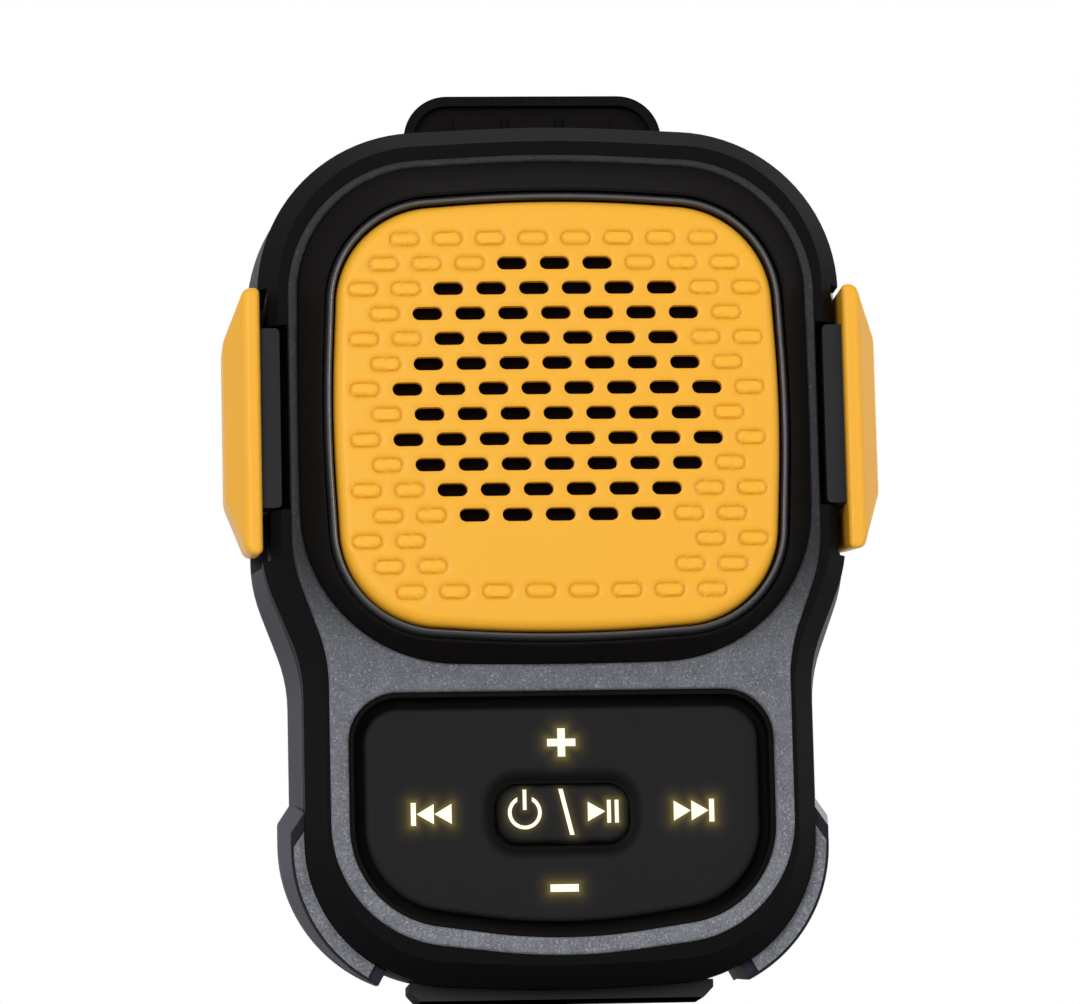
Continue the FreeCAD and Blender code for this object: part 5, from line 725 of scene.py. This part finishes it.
def new_group(name, inputs, outputs):
    """An empty node group, and its inputs' sockets by name. Inputs and outputs are rows of names, by kind."""
    group = bpy.data.node_groups.new(name, "ShaderNodeTree")
    for way, sockets in (("INPUT", inputs), ("OUTPUT", outputs)):
        for kind, labels in sockets.items():
            for label in labels.split():
                group.interface.new_socket(name=label, in_out=way, socket_type=f"NodeSocket{kind}")
    return group, group.nodes.new("NodeGroupInput").outputs


def with_results(group, results):
    """The group with its results linked to its outputs."""
    feed(group.nodes.new("NodeGroupOutput"), results)
    return group


def grain_group():
    """Moulded grain: fine noise that moves the roughness up and down and gives a height."""
    inputs = {"Vector": "Vector", "Float": "Scale Roughness Spread"}
    group, given = new_group("Moulded grain", inputs, {"Float": "Roughness Height"})
    fine = noise(group, given["Vector"], given["Scale"], 3.0, 0.6)
    broad = noise(group, given["Vector"], 90.0, 2.0)
    middle = worked_out(group, "MULTIPLY", worked_out(group, "ADD", fine, broad), 0.5)
    centred = worked_out(group, "SUBTRACT", middle, 0.5)
    moved = worked_out(group, "MULTIPLY_ADD", centred, given["Spread"], given["Roughness"])
    return with_results(group, {"Roughness": moved, "Height": fine})


def tint_group():
    """Uneven colour: slow noise that makes a colour a little lighter and darker from place to place."""
    inputs = {"Vector": "Vector", "Color": "Color", "Float": "Spread"}
    group, given = new_group("Uneven colour", inputs, {"Color": "Color"})
    centred = worked_out(group, "SUBTRACT", noise(group, given["Vector"], 5.0, 4.0, 0.55), 0.5)
    level = worked_out(group, "MULTIPLY_ADD", centred, given["Spread"], 1.0)
    return with_results(group, {"Color": scaled(group, given["Color"], level)})


def flake_group():
    """Metal flake paint: small cells of random brightness over mottled paint; the brightest are flecks."""
    inputs = {"Vector": "Vector", "Color": "Paint Fleck", "Float": "Scale Amount Level"}
    group, given = new_group("Metal flakes", inputs, {"Color": "Color", "Float": "Roughness Height"})
    place = given["Vector"]
    cells = add_node(group, "ShaderNodeTexVoronoi", {"Vector": place, "Scale": given["Scale"]})
    random = add_node(group, "ShaderNodeSeparateColor", {"Color": cells.outputs["Color"]}).outputs
    mottle = mapped(group, noise(group, place, 3200.0, 4.0, 0.8), (0.3, 0.7, 0.45, 1.6))
    blotch = mapped(group, noise(group, place, 420.0, 3.0, 0.6), (0.3, 0.7, 0.82, 1.18))
    paint = scaled(group, given["Paint"], worked_out(group, "MULTIPLY", mottle, blotch))
    edge = worked_out(group, "SUBTRACT", 1.0, given["Amount"])
    picked = mapped(group, random["Red"], (edge, 1.0, 0.0, 1.0))
    layers = {"Factor": picked, "A": paint, "B": given["Fleck"]}
    mixed = add_node(group, "ShaderNodeMix", layers, data_type="RGBA").outputs["Result"]
    # The level scales the paint and the flecks; the frame's finish uses it to paint light and shade
    rgb = scaled(group, mixed, given["Level"])
    rough = mapped(group, picked, (0.0, 1.0, 0.62, 0.34))
    return with_results(group, {"Color": rgb, "Roughness": rough, "Height": random["Green"]})


def weave_group():
    """Woven threads: two sets of sine waves at right angles; the higher one lies on top."""
    group, given = new_group("Weave", {"Vector": "Vector", "Float": "Threads"}, {"Float": "Height Thread"})
    place = scaled(group, given["Vector"], given["Threads"])
    split = add_node(group, "ShaderNodeSeparateXYZ", {0: place}).outputs
    across = worked_out(group, "SINE", split["X"])
    upright = worked_out(group, "SINE", split["Z"])
    shade = mapped(group, worked_out(group, "MULTIPLY", across, upright), (-1.0, 1.0, 0.5, 1.0))
    height = worked_out(group, "MAXIMUM", across, upright)
    return with_results(group, {"Height": height, "Thread": shade})


GROUPS = {"grain": grain_group, "tint": tint_group, "flakes": flake_group, "weave": weave_group}
made_groups = {}


def placed_group(tree, kind, **inputs):
    """The outputs of a shared group in a material's tree; it is built the first time it is asked for."""
    if kind not in made_groups:
        made_groups[kind] = GROUPS[kind]()
    return add_node(tree, "ShaderNodeGroup", inputs, node_tree=made_groups[kind]).outputs


# Finishes


def new_finish(name, specular=0.5, **settings):
    """A material with its shader and Object coordinates. Settings are the shader's own plain values."""
    finish = bpy.data.materials.new(name)
    finish.use_nodes = True
    tree = finish.node_tree
    shader = node_of(tree, "BSDF_PRINCIPLED")
    settings["Specular_IOR_Level"] = specular
    feed(shader, {label.replace("_", " "): level for label, level in settings.items()})
    return finish, tree, shader, add_node(tree, "ShaderNodeTexCoord").outputs["Object"]


def bumped(tree, height, relief):
    """A normal that follows a height; relief is its greatest height, in metres."""
    return add_node(tree, "ShaderNodeBump", {"Height": height, "Distance": relief}).outputs["Normal"]


def tinted(tree, place, rgb, spread):
    """A slightly uneven colour."""
    return placed_group(tree, "tint", Vector=place, Color=(*rgb, 1.0), Spread=spread)["Color"]


def moulded(name, rgb, roughness, spread, grain, relief, tint=0.1, **settings):
    """Moulded plastic or rubber: grain in its roughness and relief, and a slightly uneven colour."""
    finish, tree, shader, place = new_finish(name, **settings)
    grains = placed_group(tree, "grain", Vector=place, Scale=grain, Roughness=roughness, Spread=spread)
    normal = bumped(tree, grains["Height"], relief)
    rgb = tinted(tree, place, rgb, tint)
    feed(shader, {"Base Color": rgb, "Roughness": grains["Roughness"], "Normal": normal})
    return finish


# Heights in metres between which painted light and shade change the frame's paint, and its level at the
# lower and the upper one: painted shade from the keypad to the grille, and painted light from the bottom
# to the keypad
PAINTED_LIGHT_FADES = ((0.034, 0.05, 1.1, 0.12), (0.004, 0.036, 1.3, 1.0))


def flake_paint(name, paint, fleck):
    """Charcoal paint with metal flecks, with painted shade that darkens it round the grille and painted
    light that lightens it toward the bottom.
    """
    finish, tree, shader, place = new_finish(name, specular=0.3)
    height = add_node(tree, "ShaderNodeSeparateXYZ", {0: place}).outputs["Z"]
    fades = [mapped(tree, height, limits, interpolation_type="SMOOTHSTEP") for limits in PAINTED_LIGHT_FADES]
    looks = {"Paint": (*paint, 1.0), "Fleck": (*fleck, 1.0), "Scale": 6500.0, "Amount": 0.1}
    level = worked_out(tree, "MULTIPLY", *fades)
    # Painted light and shade: the level darkens the paint toward the grille and lightens it toward the bottom
    flakes = placed_group(tree, "flakes", Vector=place, Level=level, **looks)
    normal = bumped(tree, flakes["Height"], 1e-5)
    feed(shader, {"Base Color": flakes["Color"], "Roughness": flakes["Roughness"], "Normal": normal})
    return finish


def woven(name, rgb, threads, **settings):
    """Cloth: threads at right angles that shade its colour and give its relief."""
    finish, tree, shader, place = new_finish(name, Roughness=0.85, **settings)
    weave = placed_group(tree, "weave", Vector=place, Threads=threads)
    normal = bumped(tree, weave["Height"], 2e-5)
    feed(shader, {"Base Color": scaled(tree, rgb, weave["Thread"]), "Normal": normal})
    return finish


def darkened(finish, level, limits, clamp):
    """Paints shade into a finish's colour: scales it by a number that is moved from between the first two
    limits to between the last two, and held there if it is clamped. A share above 1 paints light instead."""
    tree = finish.node_tree
    shader = node_of(tree, "BSDF_PRINCIPLED")
    rgb = shader.inputs["Base Color"].links[0].from_socket
    feed(shader, {"Base Color": scaled(tree, rgb, mapped(tree, level, limits, clamp=clamp))})


def shaded_plastic(name, rgb, lowest, *look, **settings):
    """Moulded plastic or rubber with shade painted into its colour by the mesh's shade attribute, down to a
    lowest share of its colour; where the attribute is below 0, light is painted in."""
    finish = moulded(name, rgb, *look, **settings)
    shade = add_node(finish.node_tree, "ShaderNodeAttribute", attribute_name="shade").outputs["Fac"]
    darkened(finish, shade, (0.0, 1.0, 1.0, lowest), False)
    return finish


# Depths behind the middle of the speaker, in metres, over which painted shade on a guard gives way from
# its front to its sides, and the share of its colour at the first and the second one
GUARD_PAINTED_SHADE = (-0.0055, -0.0044, 0.3, 1.0)


def guard_rubber(name, rgb):
    """Smooth rubber in its own colour on the sides, with painted shade that makes the guard's front near
    black.
    """
    finish = moulded(name, rgb, 0.55, 0.1, 3000.0, 3e-6, 0.08, specular=0.12)
    tree = finish.node_tree
    place = node_of(tree, "TEX_COORD").outputs["Object"]
    # Painted shade: the guard's front is darkened by its depth
    darkened(finish, add_node(tree, "ShaderNodeSeparateXYZ", {0: place}).outputs["Y"], GUARD_PAINTED_SHADE, True)
    return finish


def glowing_rubber(name, rgb, halo):
    """Keypad rubber with shade painted in by the mesh's shade attribute, and light that spills round the
    icons by its glow attribute."""
    finish = shaded_plastic(name, rgb, 0.2, 0.58, 0.1, 3600.0, 5e-6, specular=0.1)
    tree = finish.node_tree
    glow = add_node(tree, "ShaderNodeAttribute", attribute_name="glow").outputs["Fac"]
    light = {"Emission Color": scaled(tree, halo, glow), "Emission Strength": 1.0}
    feed(node_of(tree, "BSDF_PRINCIPLED"), light)
    return finish


def lit_mark(name, rgb):
    """Translucent icon lit from behind, a little brighter in places."""
    looks = {"Base_Color": (0.1, 0.1, 0.09, 1), "Roughness": 0.4, "Emission_Strength": 1.1}
    finish, tree, shader, place = new_finish(name, **looks)
    feed(shader, {"Emission Color": tinted(tree, place, rgb, 0.12)})
    return finish


def wound_metal(name, rgb, pitch, relief, **settings):
    """Wire wound in fine turns: bands from front to back give the relief."""
    finish, tree, shader, place = new_finish(name, **settings)
    waves = {"Vector": place, "Scale": pitch, "Distortion": 0.4}
    bands = add_node(tree, "ShaderNodeTexWave", waves, bands_direction="Y")
    normal = bumped(tree, bands.outputs["Fac"], relief)
    feed(shader, {"Base Color": tinted(tree, place, rgb, 0.2), "Normal": normal})
    return finish


def slot_finishes(colours):
    """A finish for each material slot of the record. A moulded one's numbers are its roughness and that one's
    spread, the grain's scale, the relief in metres and the tint's spread."""
    black = {"specular": 0.03}
    metal = {"Metallic": 1.0}
    return {
        "yellow_plastic": shaded_plastic(
            "yellow plastic", colours.yellow, 0.8, 0.42, 0.1, 4200.0, 2.5e-6, 0.05, specular=0.3
        ),
        "flake_grey": flake_paint("flake paint", colours.flake_paint, colours.flake_fleck),
        "black_bumper": moulded("bumper rubber", colours.bumper, 0.55, 0.12, 2600.0, 4e-6, **black),
        "black_plastic": moulded("black plastic", colours.plastic, 0.5, 0.12, 3200.0, 3e-6, **black),
        "keypad_rubber": glowing_rubber("keypad rubber", colours.keypad, colours.halo),
        "lit_icon": lit_mark("lit icon", colours.icon),
        "rail_grey": moulded("rail plastic", colours.rail, 0.6, 0.15, 2200.0, 9e-6, 0.3, specular=0.18),
        "guard_grey": guard_rubber("guard rubber", colours.guard),
        "housing_grey": moulded(
            "housing plastic", colours.housing, 0.58, 0.12, 2000.0, 7e-6, 0.08, specular=0.15
        ),
        "foot_rubber": moulded("foot rubber", colours.foot, 0.7, 0.1, 1800.0, 8e-6, 0.15, **black),
        "inner_plastic": moulded("inner plastic", (0.03, 0.03, 0.032), 0.6, 0.1, 2000.0, 5e-6),
        "screen_fabric": woven("screen fabric", (0.01, 0.004, 0.003), 14000.0, specular=0.05),
        "cone_paper": moulded("cone paper", (0.03, 0.03, 0.03), 0.85, 0.1, 1500.0, 2e-5, 0.3),
        "soft_rubber": moulded("soft rubber", (0.015, 0.015, 0.016), 0.6, 0.1, 1800.0, 5e-6, 0.1, **black),
        "spider_fabric": woven("spider fabric", (0.35, 0.2, 0.06), 12000.0),
        "coil_copper": wound_metal("coil copper", (0.75, 0.32, 0.14), 900.0, 2e-5, Roughness=0.35, **metal),
        "plated_steel": moulded("plated steel", (0.55, 0.55, 0.56), 0.32, 0.15, 1200.0, 2e-6, 0.1, **metal),
        "black_steel": moulded("black steel", (0.06, 0.06, 0.062), 0.4, 0.15, 1500.0, 2e-6, 0.15, **metal),
        "ferrite": moulded("ferrite", (0.05, 0.05, 0.052), 0.65, 0.15, 1600.0, 8e-6, 0.3),
        "nickel_magnet": moulded("nickel", (0.6, 0.58, 0.54), 0.22, 0.12, 900.0, 1e-6, 0.06, **metal),
        "circuit_board": moulded("circuit board", (0.01, 0.09, 0.035), 0.4, 0.15, 900.0, 6e-6, 0.4),
        "switch_plastic": moulded("switch plastic", (0.05, 0.05, 0.052), 0.45, 0.1, 2500.0, 3e-6),
        "light_resin": moulded("light resin", (0.85, 0.78, 0.4), 0.3, 0.1, 2500.0, 2e-6),
        "battery_foil": moulded("battery foil", (0.5, 0.52, 0.55), 0.35, 0.2, 260.0, 3e-5, 0.08, **metal),
        "foam": moulded("foam", (0.04, 0.04, 0.042), 0.9, 0.1, 1400.0, 4e-5, 0.4),
        "lead_sleeve": moulded("lead sleeve", (0.35, 0.02, 0.015), 0.45, 0.1, 1500.0, 3e-6),
    }


# Studio


def add_lamp(name, place, power, size):
    """A square soft lamp that points at the middle of the speaker."""
    data = bpy.data.lights.new(name, "AREA")
    data.energy = power
    data.size = size
    lamp = add_object(name, data)
    lamp.location = place
    lamp.rotation_mode = "QUATERNION"
    lamp.rotation_quaternion = (Vector((0, 0, 0.055)) - Vector(place)).to_track_quat("-Z", "Y")
    lamp.visible_camera = False


def make_world(ambient):
    """Plain light from all sides. The camera and reflections see it as white."""
    world = bpy.data.worlds.new("studio")
    bpy.context.scene.world = world
    world.use_nodes = True
    tree = world.node_tree
    rays = add_node(tree, "ShaderNodeLightPath").outputs
    seen = worked_out(tree, "MAXIMUM", rays["Is Camera Ray"], rays["Is Glossy Ray"])
    light = {"Color": (1, 1, 1, 1), "Strength": mapped(tree, seen, (0.0, 1.0, ambient, 1.0))}
    feed(node_of(tree, "BACKGROUND"), light)


def make_floor(rgb):
    """A wide floor that can't be seen from underneath, because the camera stands lower than the floor."""
    reach = 8.0
    corners = [(-reach, -reach, 0), (reach, -reach, 0), (reach, reach, 0), (-reach, reach, 0)]
    mesh = bpy.data.meshes.new("floor")
    mesh.from_pydata(corners, [], [(0, 1, 2, 3)])
    finish, tree, shader, place = new_finish("floor", Roughness=0.9, specular=0.1)
    feed(shader, {"Base Color": tinted(tree, place, rgb, 0.01)})
    underneath = add_node(tree, "ShaderNodeNewGeometry").outputs["Backfacing"]
    clear = add_node(tree, "ShaderNodeBsdfTransparent").outputs[0]
    mixed = add_node(tree, "ShaderNodeMixShader", {0: underneath, 1: shader.outputs[0], 2: clear})
    feed(node_of(tree, "OUTPUT_MATERIAL"), {"Surface": mixed.outputs[0]})
    mesh.materials.append(finish)
    add_object("floor", mesh)


def make_camera(settings):
    """The camera that the photo was taken from."""
    data = bpy.data.cameras.new("camera")
    data.lens = settings.focal_length
    data.sensor_width = 36.0
    data.clip_start = 0.01
    camera = add_object("camera", data)
    camera.location = settings.camera_place
    camera.rotation_euler = settings.camera_turn
    bpy.context.scene.camera = camera


# Operators


class SPEAKER_OT_finishes(bpy.types.Operator):
    """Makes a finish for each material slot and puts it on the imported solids"""

    bl_idname = "speaker.finishes"
    bl_label = "Finishes"

    def execute(self, context):
        colours = context.scene.speaker_colours
        finishes.update(slot_finishes(colours))
        finishes["lip"] = moulded("lip paint", colours.lip, 0.3, 0.3, 5200.0, 2.6e-5, 0.3, specular=0.9)
        for name, node in frame["nodes"].items():
            node.data.materials.clear()
            node.data.materials.append(finishes[SLOT_OF[name]])
        return {"FINISHED"}


class SPEAKER_OT_grille(bpy.types.Operator):
    """Makes the slotted grille and the lip round it"""

    bl_idname = "speaker.grille"
    bl_label = "Grille and lip"

    def execute(self, context):
        size = in_millimetres(context)
        grille_cover(size)
        trim_lip(size)
        return {"FINISHED"}


class SPEAKER_OT_keypad(bpy.types.Operator):
    """Makes the four-way pad and the centre key"""

    bl_idname = "speaker.keypad"
    bl_label = "Keypad"

    def execute(self, context):
        size = in_millimetres(context)
        rocker_cover(size)
        centre_cover(size)
        return {"FINISHED"}


class SPEAKER_OT_side_pads(bpy.types.Operator):
    """Makes the two faceted side pads"""

    bl_idname = "speaker.side_pads"
    bl_label = "Side pads"

    def execute(self, context):
        size = in_millimetres(context)
        for name, side in (("right", 1), ("left", -1)):
            side_pad(name, side, size)
        return {"FINISHED"}


class SPEAKER_OT_frame(bpy.types.Operator):
    """Makes the painted front frame"""

    bl_idname = "speaker.front_frame"
    bl_label = "Front frame"

    def execute(self, context):
        frame_cover(in_millimetres(context))
        return {"FINISHED"}


class SPEAKER_OT_studio(bpy.types.Operator):
    """Makes the floor, the lamps, the light from all sides and the camera"""

    bl_idname = "speaker.studio"
    bl_label = "Studio"

    def execute(self, context):
        settings = context.scene.speaker_studio
        context.scene.view_settings.view_transform = "Standard"
        make_world(settings.ambient)
        make_floor(settings.floor_colour)
        add_lamp("key lamp", (-0.8, -2.0, 0.45), 17.5, 0.9)
        add_lamp("fill lamp", (1.4, -1.8, 0.15), 11.0, 1.0)
        add_lamp("top lamp", (0.0, 1.0, 2.0), 3.0, 0.9)
        add_lamp("back lamp", (1.0, 1.9, 0.9), 11.0, 1.0)
        make_camera(settings)
        return {"FINISHED"}


OPERATORS = [
    SPEAKER_OT_finishes,
    SPEAKER_OT_grille,
    SPEAKER_OT_keypad,
    SPEAKER_OT_side_pads,
    SPEAKER_OT_frame,
    SPEAKER_OT_studio,
]
SETTINGS = {
    "speaker_sizes": SpeakerSizes,
    "speaker_colours": SpeakerColours,
    "speaker_studio": StudioSettings,
}


class SPEAKER_PT_panel(bpy.types.Panel):
    """Lists the speaker's pieces, sizes and colours"""

    bl_idname = "SPEAKER_PT_panel"
    bl_label = "Speaker"
    bl_space_type = "VIEW_3D"
    bl_region_type = "UI"
    bl_category = "Speaker"

    def draw(self, context):
        for operator in OPERATORS:
            self.layout.operator(operator.bl_idname)
        for holder, group in SETTINGS.items():
            column = self.layout.column()
            for name in group.__annotations__:
                column.prop(getattr(context.scene, holder), name)


CLASSES = [*SETTINGS.values(), *OPERATORS, SPEAKER_PT_panel]


def register():
    for made in CLASSES:
        bpy.utils.register_class(made)
    for holder, group in SETTINGS.items():
        setattr(bpy.types.Scene, holder, PointerProperty(type=group))


def unregister():
    for holder in SETTINGS:
        delattr(bpy.types.Scene, holder)
    for made in CLASSES:
        bpy.utils.unregister_class(made)


def main():
    register()
    for operator in OPERATORS:
        group, name = operator.bl_idname.split(".")
        getattr(getattr(bpy.ops, group), name)()


if __name__ == "__main__":
    main()
